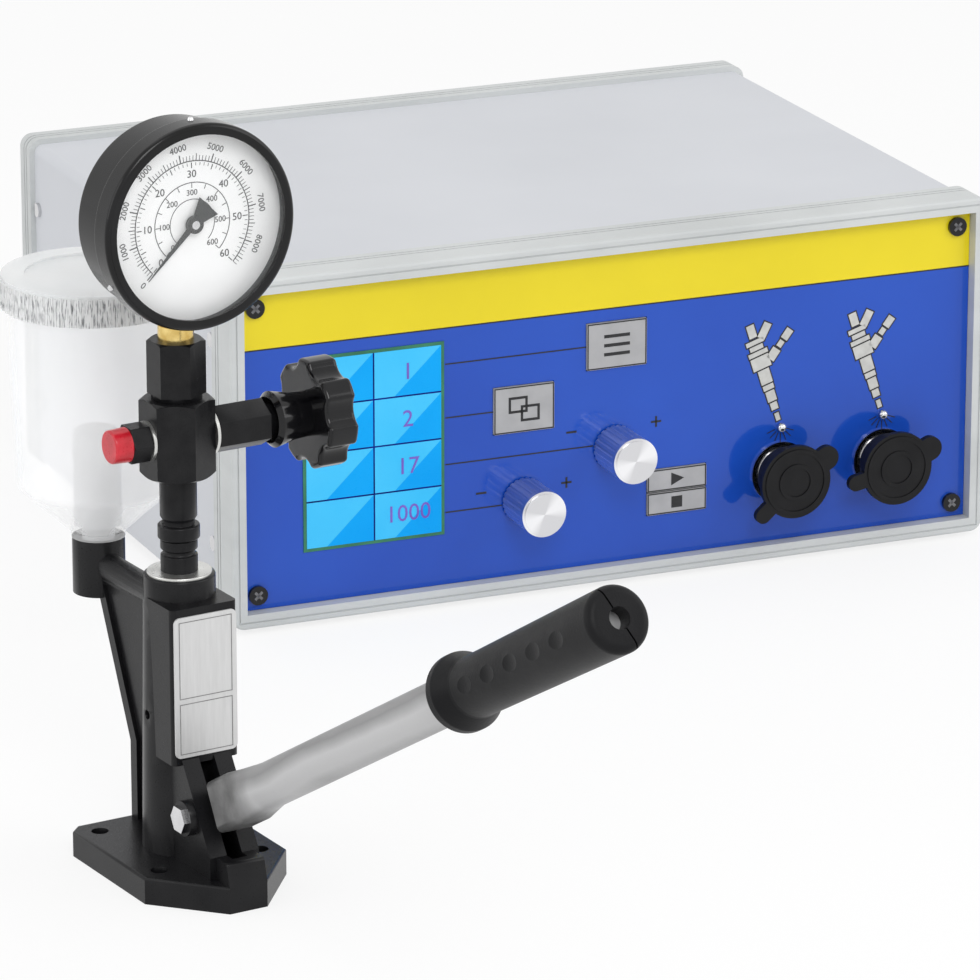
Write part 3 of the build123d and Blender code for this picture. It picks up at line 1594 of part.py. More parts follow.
def knob_piece(x, z):
    """One fluted knob with a turned face and a bore for its shaft."""
    knob_base = panel_recess - knob_gap
    with BuildPart() as knob:
        with BuildSketch(case_front_plane(knob_base)):
            with Locations((x, z)):
                Circle(knob_radius)
                with PolarLocations(knob_radius + knob_flute_radius / 2, knob_flutes):
                    Circle(knob_flute_radius, mode=Mode.SUBTRACT)
        extrude(amount=knob_length - knob_band_length)
        with BuildSketch(case_front_plane(knob_base - knob_length + knob_band_length)):
            with Locations((x, z)):
                Circle(knob_radius)
        extrude(amount=knob_band_length)
        with BuildSketch(case_front_plane(knob_base - knob_length)):
            with Locations((x, z)):
                Circle(knob_face_radius)
        extrude(amount=knob_face_round)
        with BuildSketch(case_front_plane(knob_base)):
            with Locations((x, z)):
                Circle(pot_shaft_radius + running_gap)
        extrude(amount=knob_bore_depth, mode=Mode.SUBTRACT)
    return knob


pulse_knob = knob_piece(pulse_knob_x, pulse_knob_z)
rate_knob = knob_piece(rate_knob_x, rate_knob_z)

# Injector sockets: shells with flange, insert and contacts, and rubber caps
with BuildPart() as socket_shells:
    with BuildSketch(case_front_plane(panel_back + shell_back_length)):
        with Locations(*socket_places):
            Circle(shell_thread_radius)
    extrude(amount=shell_back_length + panel_thickness)
    with BuildSketch(case_front_plane(panel_recess)):
        with Locations(*socket_places):
            Circle(shell_flange_radius)
    extrude(amount=shell_flange_thickness)
    with BuildSketch(case_front_plane(panel_recess - shell_flange_thickness)):
        with Locations(*socket_places):
            Circle(shell_radius)
    extrude(amount=shell_length - shell_flange_thickness)
    with BuildSketch(case_front_plane(panel_recess - shell_length)):
        with Locations(*socket_places):
            Circle(shell_radius - shell_wall)
    extrude(amount=-shell_length + insert_depth, mode=Mode.SUBTRACT)

with BuildPart() as socket_contacts:
    with BuildSketch(case_front_plane(panel_recess - insert_depth)):
        for x, z in socket_places:
            with Locations((x, z)):
                with PolarLocations(contact_circle, contact_count):
                    Circle(contact_radius)
    extrude(amount=contact_length)


def rubber_cap(x, z, tab_angle, ear_angle):
    """Push-on rubber cap: ringed disc, cup over the shell, finger tab and strap ear."""
    with BuildPart() as cap:
        cup_start = panel_recess - shell_length
        with BuildSketch(case_front_plane(cup_start)):
            with Locations((x, z)):
                Circle(rubber_disc_radius)
                with PolarLocations(rubber_tab_reach, 1, start_angle=tab_angle):
                    Circle(rubber_tab_radius)
                with PolarLocations(rubber_tab_reach / 2, 1, start_angle=tab_angle):
                    Rectangle(rubber_tab_reach, 2 * rubber_tab_radius)
                with PolarLocations(rubber_ear_reach, 1, start_angle=ear_angle):
                    Circle(rubber_ear_radius)
                with PolarLocations(rubber_ear_reach / 2, 1, start_angle=ear_angle):
                    Rectangle(rubber_ear_reach, 2 * rubber_ear_radius)
        extrude(amount=rubber_disc_thickness)
        with BuildSketch(case_front_plane(cup_start - rubber_disc_thickness)):
            with Locations((x, z)):
                Circle(rubber_disc_radius - rubber_wall)
                Circle(rubber_disc_radius - 2 * rubber_wall, mode=Mode.SUBTRACT)
                Circle(rubber_disc_radius / 2)
                Circle(rubber_disc_radius / 2 - rubber_wall, mode=Mode.SUBTRACT)
        extrude(amount=rubber_ring_step)
        with BuildSketch(case_front_plane(cup_start)):
            with Locations((x, z)):
                Circle(shell_radius + soft_gap + rubber_wall)
                Circle(shell_radius + soft_gap, mode=Mode.SUBTRACT)
        extrude(amount=-rubber_cup_length)
    return cap


left_socket_cap = rubber_cap(*socket_places[0], left_tab_angle, left_ear_angle)
right_socket_cap = rubber_cap(*socket_places[1], right_tab_angle, right_ear_angle)

rocker_y = rear_panel_back + switch_frame_border - rocker_sink
rocker_height = switch_height - switch_frame_border - 2 * rocker_slack

# Rear panel with the mains inlet and the rocker switch
with BuildPart() as rear_panel:
    with BuildSketch(case_front_plane(case_depth - panel_recess - panel_thickness)):
        with Locations((case_mid_x, case_mid_z)):
            Rectangle(panel_width - 2 * panel_slack, panel_height - 2 * panel_slack)
            with GridLocations(2 * screw_x, 2 * screw_z, 2, 2):
                Circle(screw_hole, mode=Mode.SUBTRACT)
        with Locations((inlet_x, inlet_z)):
            Rectangle(
                inlet_width - 2 * inlet_flange + 2 * panel_hole_slack,
                inlet_height - 2 * inlet_flange + 2 * panel_hole_slack,
                mode=Mode.SUBTRACT,
            )
        with Locations((switch_x, inlet_z)):
            Rectangle(
                switch_width + 2 * panel_hole_slack,
                switch_height + 2 * panel_hole_slack,
                mode=Mode.SUBTRACT,
            )
    extrude(amount=-panel_thickness)

with BuildPart() as mains_inlet:
    with BuildSketch(case_front_plane(rear_panel_back)):
        with Locations((inlet_x, inlet_z)):
            RectangleRounded(inlet_width, inlet_height, inlet_flange)
    extrude(amount=-inlet_flange)
    with BuildSketch(case_front_plane(rear_panel_back)):
        with Locations((inlet_x, inlet_z)):
            Rectangle(inlet_width - 2 * inlet_flange, inlet_height - 2 * inlet_flange)
    extrude(amount=inlet_body_depth)
    with BuildSketch(case_front_plane(rear_panel_back + inlet_flange)):
        with Locations((inlet_x, inlet_z)):
            Rectangle(inlet_mouth_width, inlet_mouth_height)
    extrude(amount=inlet_mouth_depth, mode=Mode.SUBTRACT)
    with BuildSketch(case_front_plane(rear_panel_back + inlet_flange - inlet_mouth_depth)):
        with Locations((inlet_x, inlet_z)):
            with GridLocations(inlet_pin_pitch, 0, inlet_pin_count, 1):
                Rectangle(inlet_pin_width, inlet_pin_height)
    extrude(amount=-inlet_pin_length)

with BuildPart() as switch_frame:
    with BuildSketch(case_front_plane(rear_panel_back)):
        with Locations((switch_x, inlet_z)):
            Rectangle(
                switch_width + 2 * switch_frame_border,
                switch_height + 2 * switch_frame_border,
            )
    extrude(amount=-switch_frame_border)
    with BuildSketch(case_front_plane(rear_panel_back)):
        with Locations((switch_x, inlet_z)):
            Rectangle(switch_width, switch_height)
    extrude(amount=switch_body_depth)
    with BuildSketch(case_front_plane(rear_panel_back + switch_frame_border)):
        with Locations((switch_x, inlet_z)):
            Rectangle(switch_width - switch_frame_border, switch_height - switch_frame_border)
    extrude(amount=switch_body_depth - switch_frame_border, mode=Mode.SUBTRACT)
    pin_span = rocker_height + 2 * rocker_pin_reach + 2 * seat_gap
    with BuildSketch(case_level(inlet_z - pin_span / 2)):
        with Locations((switch_x, rocker_y)):
            Circle(rocker_pin_radius + running_gap)
    extrude(amount=pin_span, mode=Mode.SUBTRACT)

# Rocker: a paddle on an upright pin, each end of the pin in the wall of its frame
with BuildPart() as rocker:
    rocker_level = case_level(inlet_z - rocker_height / 2)
    face_rise = rocker_sink + rocker_slack
    with BuildSketch(rocker_level):
        with BuildLine():
            Polyline(
                (switch_x - rocker_half_width, rocker_y),
                (switch_x - rocker_half_width, rocker_y + face_rise),
                (switch_x, rocker_y + face_rise - rocker_slack),
                (switch_x + rocker_half_width, rocker_y + face_rise),
                (switch_x + rocker_half_width, rocker_y),
                (switch_x, rocker_y - rocker_sink / 2),
                close=True,
            )
        make_face()
    extrude(amount=rocker_height)
    with BuildSketch(case_level(inlet_z - rocker_height / 2 - rocker_pin_reach)):
        with Locations((switch_x, rocker_y)):
            Circle(rocker_pin_radius)
    extrude(amount=rocker_height + 2 * rocker_pin_reach)

# Driver board with its chip, and the power supply
with BuildPart() as driver_board:
    with BuildSketch(case_level(board_level)):
        with Locations((board_x, board_y)):
            Rectangle(board_width, board_depth)
    extrude(amount=board_thickness)
    with BuildSketch(case_level(board_level + board_thickness)):
        with Locations((board_x - chip_shift, board_y)):
            Rectangle(chip_width, chip_depth)
    extrude(amount=chip_height)

with BuildPart() as power_supply:
    with BuildSketch(case_level(floor_top)):
        with Locations((supply_x, supply_y)):
            Rectangle(supply_width, supply_depth)
    extrude(amount=supply_height)
    chamfer(power_supply.edges().filter_by(Axis.Z), length=floor_wall)

pieces = {
    "pump_stand": pump_stand,
    "name_plate": name_plate,
    "lever": lever,
    "lever_grip": lever_grip,
    "pivot_pin": pivot_pin,
    "pin_clip": pin_clip,
    "tappet": tappet,
    "plunger": plunger,
    "pump_barrel": pump_barrel,
    "return_spring": return_spring,
    "column_ring": column_ring,
    "delivery_holder": delivery_holder,
    "valve_block": valve_block,
    "head_washers": head_washers,
    "outlet_union": outlet_union,
    "outlet_cap": outlet_cap,
    "valve_bonnet": valve_bonnet,
    "valve_spindle": valve_spindle,
    "handwheel": handwheel,
    "handwheel_screw": handwheel_screw,
    "gauge_adapter": gauge_adapter,
    "gauge_stem": gauge_stem,
    "gauge_case": gauge_case,
    "gauge_bezel": gauge_bezel,
    "gauge_glass": gauge_glass,
    "gauge_dial": gauge_dial,
    "gauge_pointer": gauge_pointer,
    "gauge_movement": gauge_movement,
    "bourdon_tube": bourdon_tube,
    "tank": tank,
    "tank_lid": tank_lid,
    "tank_filter": tank_filter,
    "front_bezel": front_bezel,
    "rear_bezel": rear_bezel,
    "case_cover": case_cover,
    "bottom_plate": bottom_plate,
    "case_feet": case_feet,
    "side_screws": side_screws,
    "panel_screws": panel_screws,
    "front_panel": front_panel,
    "display_window": display_window,
    "display_module": display_module,
    "menu_key": menu_key,
    "mode_key": mode_key,
    "start_key": start_key,
    "stop_key": stop_key,
    "key_board": key_board,
    "potentiometers": potentiometers,
    "pulse_knob": pulse_knob,
    "rate_knob": rate_knob,
    "socket_shells": socket_shells,
    "socket_contacts": socket_contacts,
    "left_socket_cap": left_socket_cap,
    "right_socket_cap": right_socket_cap,
    "rear_panel": rear_panel,
    "mains_inlet": mains_inlet,
    "switch_frame": switch_frame,
    "rocker": rocker,
    "driver_board": driver_board,
    "power_supply": power_supply,
}
for name, piece in pieces.items():
    piece.part.label = name
    export_step(piece.part, f"parts/{name}.step")
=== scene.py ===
from math import cos, pi, radians, sin

import bmesh
import bpy
from mathutils import Matrix, Vector


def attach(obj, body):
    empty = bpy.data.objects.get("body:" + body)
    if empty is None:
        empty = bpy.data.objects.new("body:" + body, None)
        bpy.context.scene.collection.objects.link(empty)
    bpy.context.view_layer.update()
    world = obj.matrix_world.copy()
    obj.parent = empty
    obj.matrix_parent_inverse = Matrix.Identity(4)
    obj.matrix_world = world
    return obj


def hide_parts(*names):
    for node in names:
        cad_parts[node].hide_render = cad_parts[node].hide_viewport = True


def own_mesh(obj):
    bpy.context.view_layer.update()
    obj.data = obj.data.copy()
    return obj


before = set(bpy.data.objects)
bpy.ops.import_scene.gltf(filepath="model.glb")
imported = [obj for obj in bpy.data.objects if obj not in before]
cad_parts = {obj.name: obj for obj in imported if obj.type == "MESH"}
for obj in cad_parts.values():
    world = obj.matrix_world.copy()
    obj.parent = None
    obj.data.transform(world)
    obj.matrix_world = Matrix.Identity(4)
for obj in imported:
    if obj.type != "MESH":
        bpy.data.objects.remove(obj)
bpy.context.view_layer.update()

MM = 0.001
STAND = "stand"
PRINT = 0.15
COAT_ROUGHNESS = 0.04

# The bench case's own frame, in millimetres: x from its left edge, y back from its front edge
CASE_LEFT = 180.5
CASE_FRONT = 280.0
CASE_TURN = radians(-8.0)
CASE_FEET = 3.0
PANEL_DEPTH = 7.0

# Heights and reaches on the pump, in millimetres
GAUGE_HEIGHT = 322.5
DIAL_FACE = 17.8
PLATE_FACE = 24.8
PLATE_HEIGHT = 100.5


# Frames on the case and on the pump
def case_matrix(x, y, z):
    """Frame on the case front: its X to the right, its Y up, its Z towards the viewer."""
    along = Vector((cos(CASE_TURN), sin(CASE_TURN), 0))
    back = Vector((-sin(CASE_TURN), cos(CASE_TURN), 0))
    place = Vector((CASE_LEFT, CASE_FRONT, CASE_FEET)) + along * x + back * y
    place.z += z
    turn = Matrix((along, Vector((0, 0, 1)), -back)).transposed()
    return Matrix.Translation(place * MM) @ turn.to_4x4()


def panel_matrix(x=0.0, z=0.0, proud=0.0):
    """Frame at a place on the front panel, proud of its face."""
    return case_matrix(x, PANEL_DEPTH - proud, z)


def front_matrix(x, reach, z):
    """Frame on the pump facing the operator, reach in front of the column axis."""
    return Matrix.Translation(Vector((x, -reach, z)) * MM) @ Matrix.Rotation(pi / 2, 4, "X")


# Material helpers
def node_tree(name):
    material = bpy.data.materials.new(name)
    material.use_nodes = True
    tree = material.node_tree
    return material, tree, tree.nodes["Principled BSDF"]


def object_place(tree):
    return tree.nodes.new("ShaderNodeTexCoord").outputs["Object"]


def stretched(tree, place, scale):
    mapping = tree.nodes.new("ShaderNodeMapping")
    mapping.inputs["Scale"].default_value = scale
    tree.links.new(place, mapping.inputs["Vector"])
    return mapping.outputs["Vector"]


def moved_to(tree, location, rotation=(0, 0, 0)):
    """Places as seen from a frame of the object with its own location and rotation."""
    mapping = tree.nodes.new("ShaderNodeMapping")
    mapping.vector_type = "TEXTURE"
    mapping.inputs["Location"].default_value = location
    mapping.inputs["Rotation"].default_value = rotation
    tree.links.new(object_place(tree), mapping.inputs["Vector"])
    return mapping.outputs["Vector"]


def axes_of(tree, place):
    node = tree.nodes.new("ShaderNodeSeparateXYZ")
    tree.links.new(place, node.inputs["Vector"])
    return node.outputs


def noise_at(tree, place, scale, detail):
    texture = tree.nodes.new("ShaderNodeTexNoise")
    texture.inputs["Scale"].default_value = scale
    texture.inputs["Detail"].default_value = detail
    tree.links.new(place, texture.inputs["Vector"])
    return texture.outputs["Fac"]


def noise(tree, scale, detail=4.0, stretch=(1, 1, 1)):
    return noise_at(tree, stretched(tree, object_place(tree), stretch), scale, detail)


def round_share(tree, place):
    """How far round the Z axis a place lies, from 0 to 1."""
    node = tree.nodes.new("ShaderNodeTexGradient")
    node.gradient_type = "RADIAL"
    tree.links.new(place, node.inputs["Vector"])
    return node.outputs["Fac"]


def above_height(tree, axes, height):
    node = tree.nodes.new("ShaderNodeMath")
    node.operation = "GREATER_THAN"
    node.inputs[1].default_value = height * MM
    tree.links.new(axes["Z"], node.inputs[0])
    return node.outputs["Value"]


def share_between(tree, value, low, high):
    """0 at a length of low millimetres and 1 at high."""
    node = tree.nodes.new("ShaderNodeMapRange")
    node.inputs["From Min"].default_value = low * MM
    node.inputs["From Max"].default_value = high * MM
    tree.links.new(value, node.inputs["Value"])
    return node.outputs["Result"]


def mixed(tree, factor, low, high):
    node = tree.nodes.new("ShaderNodeMix")
    node.data_type = "RGBA"
    tree.links.new(factor, node.inputs["Factor"])
    tree.links.new(low, node.inputs["A"])
    tree.links.new(high, node.inputs["B"])
    return node.outputs["Result"]


def ramp(tree, factor, low, high, low_at=0.3, high_at=0.7):
    node = tree.nodes.new("ShaderNodeValToRGB")
    node.color_ramp.elements[0].position = low_at
    node.color_ramp.elements[0].color = (*low, 1)
    node.color_ramp.elements[1].position = high_at
    node.color_ramp.elements[1].color = (*high, 1)
    tree.links.new(factor, node.inputs["Fac"])
    return node.outputs["Color"]


def spread(tree, factor, low, high):
    node = tree.nodes.new("ShaderNodeMapRange")
    node.inputs["To Min"].default_value = low
    node.inputs["To Max"].default_value = high
    tree.links.new(factor, node.inputs["Value"])
    return node.outputs["Result"]


def add_relief(tree, shader, height, strength, distance):
    node = tree.nodes.new("ShaderNodeBump")
    node.inputs["Strength"].default_value = strength
    node.inputs["Distance"].default_value = distance
    tree.links.new(height, node.inputs["Height"])
    tree.links.new(node.outputs["Normal"], shader.inputs["Normal"])


def surface(name, low, high, rough=0.4, rough_spread=0.08, scale=60.0, grain=900.0, bump=0.1,
            relief=0.00008, metallic=0.0, coat=0.0, stretch=(1, 1, 1), alpha=1.0, specular=0.5,
            glow=0.0):
    """A finish whose tone, gloss and grain vary over the surface.

    glow is a painted glow: an even white emission standing in for the light that scatters inside
    milky plastic.
    """
    material, tree, shader = node_tree(name)
    patch = noise(tree, scale, stretch=stretch)
    fine = noise(tree, grain, detail=2.0, stretch=stretch)
    tree.links.new(ramp(tree, patch, low, high), shader.inputs["Base Color"])
    gloss = spread(tree, fine, rough - rough_spread, rough + rough_spread)
    tree.links.new(gloss, shader.inputs["Roughness"])
    add_relief(tree, shader, fine, bump, relief)
    shader.inputs["Metallic"].default_value = metallic
    shader.inputs["Coat Weight"].default_value = coat
    shader.inputs["Coat Roughness"].default_value = COAT_ROUGHNESS
    shader.inputs["Alpha"].default_value = alpha
    shader.inputs["Specular IOR Level"].default_value = specular
    if glow:
        shader.inputs["Emission Color"].default_value = (1.0, 1.0, 1.0, 1.0)
        shader.inputs["Emission Strength"].default_value = glow
    return material


# Plain finishes
casting = surface("casting", (0.006, 0.006, 0.007), (0.013, 0.013, 0.014), rough=0.30,
                  scale=45, grain=1500, bump=0.35, relief=0.00012, specular=0.2)
blackened = surface("blackened", (0.004, 0.004, 0.005), (0.011, 0.011, 0.012), rough=0.3,
                    scale=120, grain=2500, bump=0.2, specular=0.2)
ground_steel = surface("ground_steel", (0.42, 0.42, 0.43), (0.6, 0.6, 0.61), rough=0.3,
                       metallic=1.0, stretch=(1, 1, 8))
bright_chrome = surface("bright_chrome", (0.56, 0.56, 0.57), (0.72, 0.72, 0.73), rough=0.12,
                        rough_spread=0.05, metallic=1.0, bump=0.03)
plate_silver = surface("plate_silver", (0.62, 0.62, 0.62), (0.68, 0.68, 0.68), rough=0.38,
                       metallic=0.35, stretch=(12, 1, 1), bump=0.05)
zinc = surface("zinc", (0.55, 0.55, 0.53), (0.72, 0.72, 0.70), rough=0.3, metallic=0.9)
brass = surface("brass_turned", (0.62, 0.42, 0.12), (0.86, 0.66, 0.26), rough=0.22, metallic=1.0,
                scale=200)
wheel_plastic = surface("wheel_plastic", (0.003, 0.003, 0.004), (0.007, 0.007, 0.008), rough=0.16,
                        scale=50, bump=0.04, coat=0.3, specular=0.2)
grip_plastic = surface("grip_plastic", (0.006, 0.006, 0.007), (0.014, 0.014, 0.015), rough=0.42,
                       scale=35, grain=1300, bump=0.5, relief=0.0002, specular=0.12)
soft_rubber = surface("soft_rubber", (0.004, 0.004, 0.005), (0.009, 0.009, 0.010), rough=0.4,
                      scale=70, grain=900, bump=0.25, specular=0.22)
red_plastic = surface("red_plastic", (0.46, 0.006, 0.016), (0.66, 0.016, 0.035), rough=0.3,
                      scale=150, coat=0.1)
enamel = surface("enamel", (0.004, 0.004, 0.004), (0.008, 0.008, 0.009), rough=0.2, scale=40,
                 bump=0.05, coat=0.15, specular=0.2)
dial_white = surface("dial_white", (0.94, 0.94, 0.94), (0.98, 0.98, 0.98), rough=0.5, scale=90)
extrusion = surface("extrusion", (0.55, 0.57, 0.57), (0.64, 0.66, 0.66), rough=0.45, scale=12,
                    stretch=(1, 1, 4), bump=0.08, metallic=0.1, specular=0.25)
cover_paint = surface("cover_paint", (0.62, 0.635, 0.67), (0.67, 0.685, 0.72), rough=0.55, scale=6,
                      grain=1800, bump=0.25, specular=0.2)
key_grey = surface("key_grey", (0.38, 0.38, 0.39), (0.45, 0.45, 0.46), rough=0.45, scale=80,
                   specular=0.25)
ink = surface("ink", (0.006, 0.006, 0.008), (0.014, 0.014, 0.016), rough=0.45, scale=300)
light_ink = surface("light_ink", (0.16, 0.16, 0.16), (0.24, 0.24, 0.24), rough=0.45, scale=300)
board = surface("board", (0.012, 0.10, 0.03), (0.02, 0.16, 0.05), rough=0.4, scale=60)
supply = surface("supply", (0.42, 0.42, 0.44), (0.58, 0.58, 0.6), rough=0.35, metallic=0.9)
screen_green = surface("screen_green", (0.015, 0.14, 0.07), (0.03, 0.22, 0.11), rough=0.3)
screen_cyan = surface("screen_cyan", (0.002, 0.36, 0.90), (0.006, 0.42, 0.96), rough=0.3, scale=20,
                      specular=0.1)
screen_light = surface("screen_light", (0.05, 0.54, 0.96), (0.08, 0.60, 1.0), rough=0.3, scale=20,
                       specular=0.1)
screen_navy = surface("screen_navy", (0.001, 0.005, 0.12), (0.002, 0.01, 0.25), rough=0.3,
                      specular=0.1)
screen_violet = surface("screen_violet", (0.14, 0.08, 0.5), (0.2, 0.12, 0.6), rough=0.3)
# Tank: its glow is painted light, an even emission standing in for light scattered inside the
# milky plastic
milky = surface("milky", (0.96, 0.965, 0.97), (0.99, 0.99, 1.0), rough=0.16, scale=25, alpha=0.3,
                bump=0.1, glow=0.13)
milky_filter = surface("milky_filter", (0.48, 0.49, 0.50), (0.62, 0.63, 0.64), rough=0.4, scale=40,
                       bump=0.2)
clear = surface("clear", (0.90, 0.94, 0.95), (0.96, 0.98, 0.98), rough=0.04, rough_spread=0.02,
                alpha=0.06, bump=0.0, coat=1.0)

# Lever: a cast bar with painted reflection, lighter and darker bands across its height with a
# darker band along its upper side, and a darker eye at the pivot
LEVER_PIVOT = (0.0, -30.0, 38.0)
LEVER_RISE = radians(29.5)
LEVER_HALF = 12.0
BAR_RELIEF = 0.00012
BAR_BLUR = 0.16
EYE_END, BAR_START = 44.0, 62.0
BAR_REFLECTION_TONES = ((0.0, 0.34), (0.18, 0.50), (0.48, 0.55), (0.62, 0.39), (0.76, 0.28), (1.0, 0.46))


def lever_finish():
    material, tree, shader = node_tree("cast_aluminium")
    along = Vector((0, -cos(LEVER_RISE), sin(LEVER_RISE)))
    upward = Vector((0, sin(LEVER_RISE), cos(LEVER_RISE)))
    turn = Matrix((along, upward.cross(along), upward)).transposed().to_euler()
    axes = axes_of(tree, moved_to(tree, Vector(LEVER_PIVOT) * MM, turn))
    blur = tree.nodes.new("ShaderNodeMath")
    blur.operation = "ADD"
    tree.links.new(share_between(tree, axes["Z"], -LEVER_HALF, LEVER_HALF), blur.inputs[0])
    cloud = spread(tree, noise(tree, scale=26.0, stretch=(1, 0.5, 1)), -BAR_BLUR, BAR_BLUR)
    tree.links.new(cloud, blur.inputs[1])
    # painted reflection: lighter and darker bands across the bar's height
    reflection_bands = tree.nodes.new("ShaderNodeValToRGB")
    while len(reflection_bands.color_ramp.elements) < len(BAR_REFLECTION_TONES):
        reflection_bands.color_ramp.elements.new(0.5)
    for element, (at, tone) in zip(reflection_bands.color_ramp.elements, BAR_REFLECTION_TONES):
        element.position = at
        element.color = (tone, tone, tone * 1.01, 1)
    tree.links.new(blur.outputs["Value"], reflection_bands.inputs["Fac"])
    away = share_between(tree, axes["X"], EYE_END, BAR_START)
    # the eye at the pivot is darker
    darker_eye = ramp(tree, noise(tree, scale=90.0), (0.10, 0.10, 0.10), (0.20, 0.20, 0.20))
    tree.links.new(mixed(tree, away, darker_eye, reflection_bands.outputs["Color"]), shader.inputs["Base Color"])
    grain = noise(tree, scale=700.0)
    tree.links.new(spread(tree, grain, low=0.34, high=0.5), shader.inputs["Roughness"])
    add_relief(tree, shader, grain, strength=0.3, distance=BAR_RELIEF)
    shader.inputs["Metallic"].default_value = 0.55
    return material


cast_aluminium = lever_finish()

# Tank lid: the short dark and bright dashes its ribbed rim breaks the light into are painted into
# the rim's colour as painted highlights and shade
LID_BACK = 82.0
RIM_TOP = 273.6
RIM_STRETCH = (420, 150, 1)


def lid_finish():
    material, tree, shader = node_tree("milky_lid")
    around = round_share(tree, moved_to(tree, (0, LID_BACK * MM, 0)))
    axes = axes_of(tree, object_place(tree))
    unrolled = tree.nodes.new("ShaderNodeCombineXYZ")
    tree.links.new(around, unrolled.inputs["X"])
    tree.links.new(axes["Z"], unrolled.inputs["Y"])
    rim_place = stretched(tree, unrolled.outputs["Vector"], RIM_STRETCH)
    # painted highlights and shade on the ribbed rim
    painted_glints = noise_at(tree, rim_place, scale=1.0, detail=2.0)
    rim = ramp(tree, painted_glints, (0.20, 0.21, 0.22), (0.98, 0.99, 0.99), low_at=0.38, high_at=0.5)
    top = ramp(tree, noise(tree, scale=25.0), (0.90, 0.92, 0.93), (0.97, 0.98, 0.98))
    tone = mixed(tree, above_height(tree, axes, RIM_TOP), rim, top)
    tree.links.new(tone, shader.inputs["Base Color"])
    gloss = spread(tree, noise(tree, scale=900.0), low=0.12, high=0.28)
    tree.links.new(gloss, shader.inputs["Roughness"])
    shader.inputs["Alpha"].default_value = 0.6
    return material


milky_lid = lid_finish()

# Turned knob faces: painted highlight, light and dark fans round the knob's axis painted into the
# base colour
KNOB_FRONT = -20.0
PULSE_KNOB = (168.6, 50.0)
RATE_KNOB = (221.5, 72.9)
KNOB_HIGHLIGHT_FANS = 2
HIGHLIGHT_FAN_SHIFT = 0.6


def turned_metal_with_painted_fans(name, knob):
    material, tree, shader = node_tree(name)
    x, z = knob
    centre = case_matrix(x, KNOB_FRONT, z)
    around = round_share(tree, moved_to(tree, centre.to_translation(), centre.to_euler()))
    turns = tree.nodes.new("ShaderNodeMath")
    turns.operation = "MULTIPLY_ADD"
    turns.inputs[1].default_value = 2 * pi * KNOB_HIGHLIGHT_FANS
    turns.inputs[2].default_value = HIGHLIGHT_FAN_SHIFT
    wave = tree.nodes.new("ShaderNodeMath")
    wave.operation = "SINE"
    tree.links.new(around, turns.inputs[0])
    tree.links.new(turns.outputs["Value"], wave.inputs[0])
    # painted highlight fans: lighter and darker tone round the knob's axis
    light = spread(tree, wave.outputs["Value"], low=0.5, high=1.0)
    tone = ramp(tree, light, (0.52, 0.52, 0.54), (0.93, 0.93, 0.95), low_at=0.15, high_at=0.95)
    tree.links.new(tone, shader.inputs["Base Color"])
    gloss = spread(tree, noise(tree, scale=900.0), low=0.24, high=0.36)
    tree.links.new(gloss, shader.inputs["Roughness"])
    shader.inputs["Metallic"].default_value = 1.0
    return material


pulse_metal = turned_metal_with_painted_fans("pulse_metal", PULSE_KNOB)
rate_metal = turned_metal_with_painted_fans("rate_metal", RATE_KNOB)

# Overlay of the front panel: yellow above blue, split at a height, under a clear gloss
OVERLAY_SPLIT = 153.4


def overlay_finish():
    material, tree, shader = node_tree("panel_overlay")
    axes = axes_of(tree, object_place(tree))
    patch = noise(tree, scale=9.0)
    blue = ramp(tree, patch, (0.010, 0.068, 0.46), (0.014, 0.086, 0.53))
    yellow = ramp(tree, patch, (0.78, 0.63, 0.008), (0.86, 0.70, 0.012))
    tone = mixed(tree, above_height(tree, axes, OVERLAY_SPLIT), blue, yellow)
    tree.links.new(tone, shader.inputs["Base Color"])
    gloss = spread(tree, noise(tree, scale=500.0), low=0.10, high=0.16)
    tree.links.new(gloss, shader.inputs["Roughness"])
    shader.inputs["Specular IOR Level"].default_value = 0.15
    shader.inputs["Coat Weight"].default_value = 0.5
    shader.inputs["Coat Roughness"].default_value = 0.02
    return material


overlay = overlay_finish()

# Each node's finish
NODE_FINISH = {
    "pump_stand": casting, "name_plate": plate_silver, "lever": cast_aluminium,
    "lever_grip": grip_plastic, "pivot_pin": bright_chrome, "pin_clip": ground_steel,
    "tappet": ground_steel, "plunger": ground_steel, "pump_barrel": ground_steel,
    "return_spring": ground_steel, "column_ring": zinc, "delivery_holder": blackened,
    "valve_block": blackened, "head_washers": zinc, "outlet_union": blackened,
    "outlet_cap": red_plastic, "valve_bonnet": blackened, "valve_spindle": ground_steel,
    "handwheel": wheel_plastic, "handwheel_screw": bright_chrome, "gauge_adapter": blackened,
    "gauge_stem": brass, "gauge_case": enamel, "gauge_bezel": enamel, "gauge_glass": clear,
    "gauge_dial": dial_white, "gauge_pointer": enamel, "gauge_movement": brass,
    "bourdon_tube": brass, "tank": milky, "tank_lid": milky_lid, "tank_filter": milky_filter,
    "front_bezel": extrusion, "rear_bezel": extrusion, "case_cover": cover_paint,
    "bottom_plate": cover_paint, "case_feet": soft_rubber, "side_screws": bright_chrome,
    "panel_screws": wheel_plastic, "front_panel": overlay, "display_window": screen_green,
    "display_module": board, "menu_key": key_grey, "mode_key": key_grey, "start_key": key_grey,
    "stop_key": key_grey, "key_board": board, "potentiometers": ground_steel,
    "pulse_knob": pulse_metal, "rate_knob": rate_metal, "socket_shells": bright_chrome,
    "socket_contacts": brass, "left_socket_cap": soft_rubber, "right_socket_cap": soft_rubber,
    "rear_panel": cover_paint, "mains_inlet": wheel_plastic, "switch_frame": wheel_plastic,
    "rocker": red_plastic, "driver_board": board, "power_supply": supply,
}
for node, finish in NODE_FINISH.items():
    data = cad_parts[node].data
    data.materials.clear()
    data.materials.append(finish)


